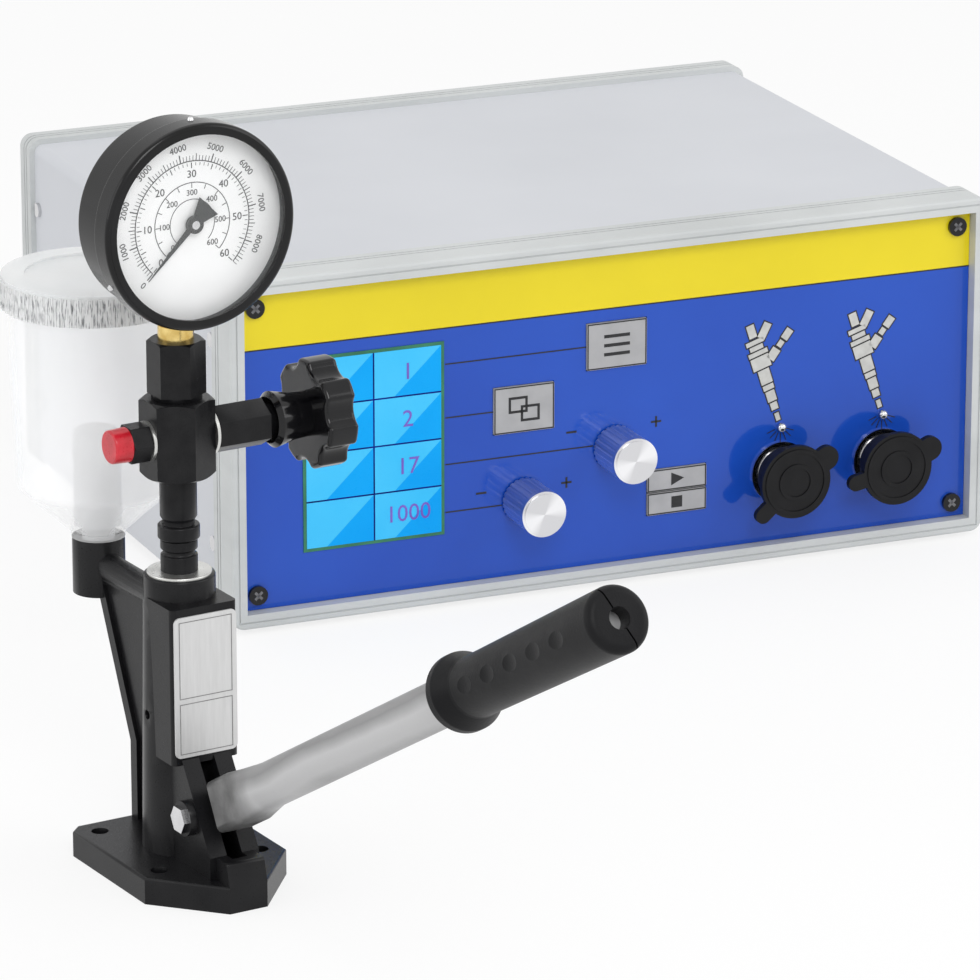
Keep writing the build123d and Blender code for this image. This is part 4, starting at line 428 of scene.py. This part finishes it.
# Geometry helpers
def add_piece(name, bm, body, material, smooth=False):
    """A new piece of the scene from a finished bmesh, riding on a body."""
    mesh = bpy.data.meshes.new(name)
    bm.to_mesh(mesh)
    bm.free()
    if smooth:
        mesh.shade_smooth()
    piece = bpy.data.objects.new(name, mesh)
    bpy.context.scene.collection.objects.link(piece)
    mesh.materials.clear()
    mesh.materials.append(material)
    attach(piece, body)
    return piece


def prism(bm, outline, depth, matrix):
    """A flat outline in matrix's XY plane, built up along its Z, in millimetres."""
    low = [bm.verts.new(matrix @ (Vector((x, y, 0)) * MM)) for x, y in outline]
    high = [bm.verts.new(matrix @ (Vector((x, y, depth)) * MM)) for x, y in outline]
    count = len(outline)
    bm.faces.new(list(reversed(low)))
    bm.faces.new(high)
    for i in range(count):
        j = (i + 1) % count
        bm.faces.new((low[i], low[j], high[j], high[i]))


def rectangle(x, y, width, height):
    return [
        (x - width / 2, y - height / 2), (x + width / 2, y - height / 2),
        (x + width / 2, y + height / 2), (x - width / 2, y + height / 2),
    ]


def frame_bars(x, y, width, height, line):
    """Four bars that make a rectangular frame."""
    return [
        rectangle(x, y + height / 2 - line / 2, width, line),
        rectangle(x, y - height / 2 + line / 2, width, line),
        rectangle(x - width / 2 + line / 2, y, line, height - 2 * line),
        rectangle(x + width / 2 - line / 2, y, line, height - 2 * line),
    ]


def polygon(radius, sides):
    angles = [2 * pi * i / sides for i in range(sides)]
    return [(radius * cos(a), radius * sin(a)) for a in angles]


def bar(x0, y0, x1, y1, line):
    """A straight line of a given thickness from one point to another."""
    way = Vector((x1 - x0, y1 - y0)).normalized() * line / 2
    return [
        (x0 + way.y, y0 - way.x), (x1 + way.y, y1 - way.x),
        (x1 - way.y, y1 + way.x), (x0 - way.y, y0 + way.x),
    ]


def printed(name, outlines, matrix, material, body=STAND, depth=PRINT):
    """Flat shapes printed or laid on a surface, as one piece."""
    bm = bmesh.new()
    for outline in outlines:
        prism(bm, outline, depth, matrix)
    return add_piece(name, bm, body, material)


def numbers(name, entries, size, matrix, material):
    """Plain numbers at places in matrix's plane, each with its turn, joined into one piece."""
    bm = bmesh.new()
    for text, x, y, turn in entries:
        curve = bpy.data.curves.new(name + "_" + text, "FONT")
        curve.body = text
        curve.size = size * MM
        curve.extrude = PRINT * MM / 2
        curve.align_x = "CENTER"
        curve.align_y = "CENTER"
        curve.resolution_u = 3
        holder = bpy.data.objects.new(name + "_" + text, curve)
        bpy.context.scene.collection.objects.link(holder)
        graph = bpy.context.evaluated_depsgraph_get()
        mesh = bpy.data.meshes.new_from_object(holder.evaluated_get(graph))
        place = Matrix.Translation(Vector((x, y, PRINT / 2)) * MM)
        mesh.transform(matrix @ place @ Matrix.Rotation(turn, 4, "Z"))
        bm.from_mesh(mesh)
        bpy.data.objects.remove(holder)
    return add_piece(name, bm, STAND, material)


# Softer edges on the hard pieces, where light catches: bevel widths in millimetres
EDGE_WIDTHS = {
    "pump_stand": 0.8, "valve_block": 0.5, "outlet_union": 0.35, "valve_bonnet": 0.4,
    "gauge_adapter": 0.35, "lever": 0.8, "menu_key": 0.3, "mode_key": 0.3,
    "start_key": 0.3, "stop_key": 0.3, "delivery_holder": 0.3,
}
EDGE_ANGLE = radians(35.0)
WELD_REACH = 0.01


def soften(piece, width):
    weld = piece.modifiers.new("weld", "WELD")
    weld.merge_threshold = WELD_REACH * MM
    bevel = piece.modifiers.new("edges", "BEVEL")
    bevel.width = width * MM
    bevel.segments = 2
    bevel.limit_method = "ANGLE"
    bevel.angle_limit = EDGE_ANGLE
    bevel.harden_normals = True


for node, width in EDGE_WIDTHS.items():
    soften(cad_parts[node], width)

# Gauge dial: three rings of ticks with plain numbers, the outer ring in a finer unit
DIAL_START = 225.0
DIAL_SWEEP = 270.0
OUTER_UNITS = 8.702
INNER_UNITS = 6.0
ARC_STEPS = 72

# Ticks of a ring: radius of their outer end, length, width, and steps in a unit
OUTER_TICKS = ((33.6, 3.8, 0.5, 1), (33.0, 3.2, 0.36, 2), (32.2, 2.4, 0.24, 10))
MIDDLE_TICKS = ((28.9, 2.6, 0.4, 2), (28.9, 1.5, 0.22, 10))
INNER_TICKS = ((19.1, 2.2, 0.32, 2),)

# Each ring: its ticks, the units on it, and the radius and width of the arc inside it
DIAL_RINGS = (
    (OUTER_TICKS, OUTER_UNITS, 29.4, 0.45),
    (MIDDLE_TICKS, INNER_UNITS, 19.3, 0.35),
    (INNER_TICKS, INNER_UNITS, 11.4, 0.3),
)

# Numbers of each ring: radius, units on the ring, letter size, value of a unit, and if they turn
DIAL_NUMBERS = {
    "dial_outer": (36.4, OUTER_UNITS, 4.4, 1000, True),
    "dial_middle": (23.4, INNER_UNITS, 5.0, 10, False),
    "dial_inner": (14.6, INNER_UNITS, 3.9, 100, False),
}


def dial_angle(share):
    return radians(DIAL_START - DIAL_SWEEP * share)


def ticks(radius, length, line, steps, units):
    """Ticks inwards from a radius, at a number of steps to each of the ring's units."""
    shapes = []
    inner = radius - length
    for i in range(int(steps * units) + 1):
        a = dial_angle(i / (steps * units))
        shapes.append(
            bar(inner * cos(a), inner * sin(a), radius * cos(a), radius * sin(a), line)
        )
    return shapes


def arc_line(radius, line):
    shapes = []
    for i in range(ARC_STEPS):
        a, b = dial_angle(i / ARC_STEPS), dial_angle((i + 1) / ARC_STEPS)
        shapes.append([
            (radius * cos(a), radius * sin(a)), (radius * cos(b), radius * sin(b)),
            ((radius + line) * cos(b), (radius + line) * sin(b)),
            ((radius + line) * cos(a), (radius + line) * sin(a)),
        ])
    return shapes


def ring_numbers(radius, units, value, along):
    """Numbers one unit apart on a ring, upright or turned along it."""
    entries = []
    for i in range(int(units) + 1):
        a = dial_angle(i / units)
        turn = a - pi / 2 if along else 0.0
        entries.append((str(value * i), radius * cos(a), radius * sin(a), turn))
    return entries


dial_matrix = front_matrix(0, DIAL_FACE, GAUGE_HEIGHT)
dial_marks = []
for ring_ticks, units, arc_radius, arc_width in DIAL_RINGS:
    for radius, length, line, steps in ring_ticks:
        dial_marks += ticks(radius, length, line, steps, units)
    dial_marks += arc_line(arc_radius, arc_width)
printed("dial_marks", dial_marks, dial_matrix, ink)
for name, (radius, units, size, value, along) in DIAL_NUMBERS.items():
    entries = ring_numbers(radius, units, value, along)
    numbers(name, entries, size, dial_matrix, ink)

# Bright centre of the pointer's hub
HUB_FACE = 21.2
HUB_CENTRE_RADIUS = 2.0
HUB_CENTRE_SIDES = 32
HUB_CENTRE_HEIGHT = 0.4
printed("hub_centre", [polygon(HUB_CENTRE_RADIUS, HUB_CENTRE_SIDES)],
        front_matrix(0, HUB_FACE, GAUGE_HEIGHT), bright_chrome, body="needle",
        depth=HUB_CENTRE_HEIGHT)

# Small screws round the gauge's rim
RIM_RADIUS = 49.0
RIM_SCREW_REACH = 17.5
RIM_SCREW_ANGLES = (90, 210, 330)
RIM_SCREW_LOW, RIM_SCREW_HIGH = 1.7, 1.1
RIM_SCREW_HEIGHT = 1.6
RIM_SCREW_PROUD = 0.4
RIM_SCREW_SIDES = 20


def rim_screws():
    bm = bmesh.new()
    hub = Matrix.Translation(Vector((0, -RIM_SCREW_REACH, GAUGE_HEIGHT)) * MM)
    outward = Matrix.Translation(Vector((0, 0, RIM_RADIUS + RIM_SCREW_PROUD)) * MM)
    for angle in RIM_SCREW_ANGLES:
        place = hub @ Matrix.Rotation(radians(90 - angle), 4, "Y") @ outward
        bmesh.ops.create_cone(bm, cap_ends=True, segments=RIM_SCREW_SIDES,
                              radius1=RIM_SCREW_LOW * MM, radius2=RIM_SCREW_HIGH * MM,
                              depth=RIM_SCREW_HEIGHT * MM, matrix=place)
    add_piece("rim_screws", bm, STAND, bright_chrome)


rim_screws()

# Return spring: a coil up to its upper seat
COIL_LOW, COIL_HIGH = 56.2, 90.8
COIL_RADIUS, COIL_WIRE = 8.8, 1.1
COIL_TURNS, COIL_STEPS, COIL_SIDES = 6, 24, 10


def spring_coil():
    bm = bmesh.new()
    rings = []
    last = COIL_TURNS * COIL_STEPS
    for i in range(last + 1):
        a = 2 * pi * i / COIL_STEPS
        outward = Vector((cos(a), sin(a), 0))
        height = COIL_LOW + (COIL_HIGH - COIL_LOW) * i / last
        centre = outward * COIL_RADIUS + Vector((0, 0, height))
        rings.append([
            bm.verts.new((centre + (outward * cos(b) + Vector((0, 0, sin(b)))) * COIL_WIRE) * MM)
            for b in (2 * pi * k / COIL_SIDES for k in range(COIL_SIDES))
        ])
    for low, high in zip(rings, rings[1:]):
        for k in range(COIL_SIDES):
            n = (k + 1) % COIL_SIDES
            bm.faces.new((low[k], high[k], high[n], low[n]))
    bm.faces.new(rings[0])
    bm.faces.new(list(reversed(rings[-1])))
    bmesh.ops.recalc_face_normals(bm, faces=bm.faces)
    coil = add_piece("spring_coil", bm, STAND, ground_steel, smooth=True)
    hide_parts("return_spring")
    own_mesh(coil)


spring_coil()

# Bare name plate with two thin frames, each with its middle's height and its own height
PLATE_FRAMES = ((13.5, 38.0), (-20.5, 25.0))
PLATE_FRAME_WIDTH = 28.0
PLATE_LINE = 0.35
plate_bars = []
for middle, height in PLATE_FRAMES:
    plate_bars += frame_bars(0, middle, PLATE_FRAME_WIDTH, height, PLATE_LINE)
printed("plate_frames", plate_bars, front_matrix(0, PLATE_FACE, PLATE_HEIGHT), light_ink)

# Panel print: split line, leader lines from the display, and marks beside the knobs
PANEL_LEFT, PANEL_RIGHT = 8.4, 431.6
PANEL_LINE = 0.7
LEADER_START = 123.6
LEADERS = ((204.8, 130.5), (151.3, 100.9), (209.0, 75.0), (156.0, 48.4))
PLUS_MARKS = ((245.8, 84.2), (193.5, 56.4))
MINUS_MARKS = ((196.3, 84.2), (144.1, 56.6))
MARK_LONG, MARK_WIDE = 6.0, 1.1
panel = panel_matrix()
panel_lines = [
    rectangle((PANEL_LEFT + PANEL_RIGHT) / 2, OVERLAY_SPLIT - CASE_FEET,
              PANEL_RIGHT - PANEL_LEFT, PANEL_LINE)
]
panel_lines += [bar(LEADER_START, z, end, z, PANEL_LINE) for end, z in LEADERS]
panel_lines += [rectangle(x, z, MARK_LONG, MARK_WIDE) for x, z in PLUS_MARKS + MINUS_MARKS]
panel_lines += [rectangle(x, z, MARK_WIDE, MARK_LONG) for x, z in PLUS_MARKS]
printed("panel_lines", panel_lines, panel, ink)

# Display: cells in two columns and four rows, with plain numbers in the right one. A cell is
# split by a slanted line into a light and a darker part
DISPLAY_X, DISPLAY_Z = 82.7, 90.0
DISPLAY_WIDTH, DISPLAY_HEIGHT = 80.2, 106.9
DISPLAY_BORDER = 1.8
DISPLAY_LINE = 0.9
DISPLAY_ROWS = 4
DISPLAY_VALUES = ("1", "2", "17", "1000")
VALUE_SIZE = 13.0
LINES_FACE, LINES_DEPTH = 0.5, 0.1
CELL_FACE, CELL_DEPTH = 0.6, 0.06
CELL_SLANT = 0.3


def display_matrix(proud):
    return panel_matrix(DISPLAY_X, DISPLAY_Z, proud)


screen_width = DISPLAY_WIDTH - 2 * DISPLAY_BORDER
screen_height = DISPLAY_HEIGHT - 2 * DISPLAY_BORDER
cell_width = (screen_width - DISPLAY_LINE) / 2
cell_height = (screen_height - (DISPLAY_ROWS - 1) * DISPLAY_LINE) / DISPLAY_ROWS
column_x = (cell_width + DISPLAY_LINE) / 2
row_heights = [
    (row - (DISPLAY_ROWS - 1) / 2) * (cell_height + DISPLAY_LINE) for row in range(DISPLAY_ROWS)
]
dark_cells, light_cells = [], []
for cx in (-column_x, column_x):
    for cy in row_heights:
        left, right = cx - cell_width / 2, cx + cell_width / 2
        low, high = cy - cell_height / 2, cy + cell_height / 2
        slant = left + CELL_SLANT * cell_width
        dark_cells.append([(slant, low), (right, low), (right, high)])
        light_cells.append([(left, low), (slant, low), (right, high), (left, high)])
printed("screen_lines", [rectangle(0, 0, screen_width, screen_height)],
        display_matrix(LINES_FACE), screen_navy, depth=LINES_DEPTH)
printed("screen_cells_dark", dark_cells, display_matrix(CELL_FACE), screen_cyan,
        depth=CELL_DEPTH)
printed("screen_cells_light", light_cells, display_matrix(CELL_FACE), screen_light,
        depth=CELL_DEPTH)
value_rows = [
    (text, column_x, height, 0.0) for text, height in zip(DISPLAY_VALUES, reversed(row_heights))
]
numbers("screen_values", value_rows, VALUE_SIZE, display_matrix(CELL_FACE + CELL_DEPTH),
        screen_violet)

# Keys: thin dark edge and a plain sign on each; body, place on the panel, width and height
KEYS = {
    "menu_key": ("menu_button", 222.2, 130.3, 34.8, 25.8),
    "mode_key": ("mode_button", 168.5, 101.0, 34.8, 25.8),
    "start_key": ("start_button", 258.0, 51.0, 34.8, 12.4),
    "stop_key": ("stop_button", 258.0, 37.9, 34.8, 12.4),
}
KEY_FACE = 1.0
KEY_INSET = 0.4
KEY_LINE = 0.7
KEY_PRINT = 0.08
BARS_LENGTH, BARS_LINE, BARS_STEP = 15.0, 1.8, 5.0
PAGE_WIDTH, PAGE_HEIGHT, PAGE_LINE = 11.0, 9.0, 1.4
PAGE_X, PAGE_Y = 3.5, 2.5
ARROW_BACK, ARROW_TIP, ARROW_HALF = -3.4, 4.2, 3.6
SQUARE_SIDE = 6.4
KEY_SIGNS = {
    "menu_key": [
        rectangle(0, y, BARS_LENGTH, BARS_LINE) for y in (BARS_STEP, 0, -BARS_STEP)
    ],
    "mode_key": (
        frame_bars(-PAGE_X, PAGE_Y, PAGE_WIDTH, PAGE_HEIGHT, PAGE_LINE)
        + frame_bars(PAGE_X, -PAGE_Y, PAGE_WIDTH, PAGE_HEIGHT, PAGE_LINE)
    ),
    "start_key": [[(ARROW_BACK, -ARROW_HALF), (ARROW_TIP, 0.0), (ARROW_BACK, ARROW_HALF)]],
    "stop_key": [rectangle(0, 0, SQUARE_SIDE, SQUARE_SIDE)],
}
for key, (body, x, z, width, height) in KEYS.items():
    edge = frame_bars(0, 0, width - KEY_INSET, height - KEY_INSET, KEY_LINE)
    printed(key + "_print", edge + KEY_SIGNS[key], panel_matrix(x, z, KEY_FACE), ink,
            body=body, depth=KEY_PRINT)

# Panel screws: cross recesses, painted a lighter grey than the black heads as a painted highlight
# of the glints in them
SCREW_PLACES = ((16.4, 16.5), (423.6, 16.5), (16.4, 173.5), (423.6, 173.5))
SCREW_HEAD = 2.2
CROSS_REACH, CROSS_WIDE, CROSS_DEPTH = 2.0, 1.5, 0.05
# painted highlight: the crosses are lighter than the screw heads
cross_glint_grey = surface("cross_glint_grey", (0.10, 0.10, 0.11), (0.18, 0.18, 0.19), rough=0.3, scale=300)
crosses = []
for x, z in SCREW_PLACES:
    left, right = x - CROSS_REACH, x + CROSS_REACH
    low, high = z - CROSS_REACH, z + CROSS_REACH
    crosses += [bar(left, low, right, high, CROSS_WIDE), bar(left, high, right, low, CROSS_WIDE)]
printed("screw_crosses", crosses, panel_matrix(0, 0, SCREW_HEAD), cross_glint_grey,
        depth=CROSS_DEPTH)

# Chrome studs above the sockets, with their centres proud by a share of their radius
STUDS = ((319.7, 72.3), (380.7, 72.3))
STUD_RADIUS = 2.6
STUD_PROUD_SHARE = 0.6
STUD_SEGMENTS, STUD_RINGS = 24, 14


def stud_spheres():
    bm = bmesh.new()
    for x, z in STUDS:
        bmesh.ops.create_uvsphere(bm, u_segments=STUD_SEGMENTS, v_segments=STUD_RINGS,
                                  radius=STUD_RADIUS * MM,
                                  matrix=panel_matrix(x, z, STUD_RADIUS * STUD_PROUD_SHARE))
    add_piece("stud_spheres", bm, STAND, bright_chrome, smooth=True)


stud_spheres()

# Injector signs above the studs: plain sections along a slanted axis, light on a dark outline,
# each section with its lower end, upper end and width, and each arm with its two ends and width
SIGN_TURN = radians(18.0)
SIGN_EDGE = 0.7
SIGN_PRINT = 0.1
SIGN_LIFT = 0.06
SIGN_X, SIGN_Z = -0.5, 1.5
SIGN_BODY = (
    (2.5, 7.0, 2.6), (9.2, 13.5, 4.2), (14.3, 20.5, 5.4), (21.3, 24.3, 6.4), (25.1, 33.5, 6.8),
    (34.3, 41.5, 11.0), (42.3, 44.8, 11.6), (45.6, 48.2, 8.0), (49.0, 51.5, 10.6),
    (53.0, 60.5, 4.6),
)
SIGN_ARMS = (
    ((4.0, 51.0), (10.5, 57.5), 4.6), ((5.5, 37.5), (11.0, 41.5), 5.2),
    ((12.2, 42.2), (15.4, 44.4), 3.2), ((16.4, 45.0), (21.6, 48.6), 4.4),
)
RAY_COUNT = 7
RAY_START, RAY_STEP = 200.0, 23.3
RAY_NEAR, RAY_FAR, RAY_LINE = 3.6, 8.5, 0.5


def sign_point(x, z, u, v):
    """A place on the sign at x, z: u across its axis, v up along it."""
    across, up = cos(SIGN_TURN), sin(SIGN_TURN)
    return (x + u * across - v * up, z + u * up + v * across)


def sign_shapes(x, z, grow):
    shapes = []
    for low, high, width in SIGN_BODY:
        half = width / 2 + grow
        shapes.append([
            sign_point(x, z, -half, low - grow), sign_point(x, z, half, low - grow),
            sign_point(x, z, half, high + grow), sign_point(x, z, -half, high + grow),
        ])
    for start, end, width in SIGN_ARMS:
        way = Vector((end[0] - start[0], end[1] - start[1])).normalized() * grow
        low = sign_point(x, z, start[0] - way.x, start[1] - way.y)
        high = sign_point(x, z, end[0] + way.x, end[1] + way.y)
        shapes.append(bar(*low, *high, width + 2 * grow))
    return shapes


def spray_rays(x, z):
    shapes = []
    for i in range(RAY_COUNT):
        a = radians(RAY_START + RAY_STEP * i)
        shapes.append(
            bar(x + RAY_NEAR * cos(a), z + RAY_NEAR * sin(a),
                x + RAY_FAR * cos(a), z + RAY_FAR * sin(a), RAY_LINE)
        )
    return shapes


sign_grey = surface("sign_grey", (0.50, 0.50, 0.48), (0.62, 0.62, 0.60), rough=0.45, scale=200)
outlines, fills, rays = [], [], []
for x, z in STUDS:
    outlines += sign_shapes(x + SIGN_X, z + SIGN_Z, SIGN_EDGE)
    fills += sign_shapes(x + SIGN_X, z + SIGN_Z, 0.0)
    rays += spray_rays(x, z)
printed("sign_outlines", outlines, panel, ink, depth=SIGN_PRINT)
printed("sign_fills", fills, panel_matrix(0, 0, SIGN_LIFT), sign_grey,
        depth=SIGN_PRINT)
printed("sign_rays", rays, panel, ink, depth=SIGN_PRINT)

# Floor and world: white to the camera and in reflections, and darker as a source of light
SEEN_RAYS = ("Is Camera Ray", "Is Glossy Ray", "Is Transmission Ray")
FLOOR_SIZE = 30
FLOOR_GLOW = 0.8
WORLD_LIGHT = 0.66


def seen_rays(tree):
    """One for rays from the camera or by way of metal and glass, and zero for all other light."""
    path = tree.nodes.new("ShaderNodeLightPath")
    total = path.outputs[SEEN_RAYS[0]]
    for name in SEEN_RAYS[1:]:
        either = tree.nodes.new("ShaderNodeMath")
        either.operation = "MAXIMUM"
        tree.links.new(total, either.inputs[0])
        tree.links.new(path.outputs[name], either.inputs[1])
        total = either.outputs["Value"]
    return total


def floor_finish():
    material, tree, shader = node_tree("floor")
    tone = ramp(tree, noise(tree, scale=0.6), (0.92, 0.92, 0.92), (0.96, 0.96, 0.96))
    tree.links.new(tone, shader.inputs["Base Color"])
    shader.inputs["Roughness"].default_value = 0.9
    glow = tree.nodes.new("ShaderNodeEmission")
    glow.inputs["Color"].default_value = (1, 1, 1, 1)
    glow.inputs["Strength"].default_value = 1.0
    share = tree.nodes.new("ShaderNodeMath")
    share.operation = "MULTIPLY"
    share.inputs[1].default_value = FLOOR_GLOW
    tree.links.new(seen_rays(tree), share.inputs[0])
    mix = tree.nodes.new("ShaderNodeMixShader")
    tree.links.new(share.outputs["Value"], mix.inputs["Fac"])
    tree.links.new(shader.outputs["BSDF"], mix.inputs[1])
    tree.links.new(glow.outputs["Emission"], mix.inputs[2])
    tree.links.new(mix.outputs["Shader"], tree.nodes["Material Output"].inputs["Surface"])
    return material


def light_world():
    world = bpy.data.worlds.new("studio")
    world.use_nodes = True
    bpy.context.scene.world = world
    tree = world.node_tree
    background = tree.nodes["Background"]
    background.inputs["Color"].default_value = (1, 1, 1, 1)
    level = spread(tree, seen_rays(tree), WORLD_LIGHT, 1.0)
    tree.links.new(level, background.inputs["Strength"])


bpy.ops.mesh.primitive_plane_add(size=FLOOR_SIZE)
floor = bpy.context.object
floor.name = "floor"
floor.data.materials.append(floor_finish())
light_world()

# Lamps: place, target, side in metres, and power
LAMPS = {
    "key_light": ((-0.6, -2.2, 2.2), (0.2, 0.2, 0.15), 1.2, 27),
    "fill_light": ((2.2, -1.4, 1.4), (0.2, 0.2, 0.15), 1.6, 14),
    "left_light": ((-2.4, 0.6, 1.2), (0.2, 0.3, 0.15), 1.6, 11),
    "top_light": ((0.3, 0.8, 2.4), (0.3, 0.4, 0.1), 1.8, 6),
}


def aim(holder, place, ahead):
    """Put a lamp or camera at a place, looking ahead."""
    holder.location = place
    holder.rotation_euler = ahead.to_track_quat("-Z", "Y").to_euler()
    bpy.context.scene.collection.objects.link(holder)


for name, (place, target, size, power) in LAMPS.items():
    lamp = bpy.data.lights.new(name, "AREA")
    lamp.size = size
    lamp.energy = power
    holder = bpy.data.objects.new(name, lamp)
    aim(holder, place, Vector(target) - Vector(place))

# Camera: the photograph's viewing angle, with its focal length in pixels of the frame
FOCAL_PIXELS = 6484.0
FRAME_PIXELS = 980.0
SENSOR_WIDTH = 36.0
CLIP_NEAR, CLIP_FAR = 0.1, 100
CAMERA_PLACE = (-1.3561, -2.5476, 1.1201)
CAMERA_AZIMUTH = radians(30.92)
CAMERA_ELEVATION = radians(17.90)


def set_camera():
    camera = bpy.data.cameras.new("camera")
    camera.sensor_width = SENSOR_WIDTH
    camera.lens = SENSOR_WIDTH * FOCAL_PIXELS / FRAME_PIXELS
    camera.clip_start, camera.clip_end = CLIP_NEAR, CLIP_FAR
    holder = bpy.data.objects.new("camera", camera)
    level = cos(CAMERA_ELEVATION)
    ahead = Vector((
        sin(CAMERA_AZIMUTH) * level, cos(CAMERA_AZIMUTH) * level, -sin(CAMERA_ELEVATION),
    ))
    aim(holder, CAMERA_PLACE, ahead)
    bpy.context.scene.camera = holder


set_camera()
bpy.context.scene.view_settings.view_transform = "Standard"
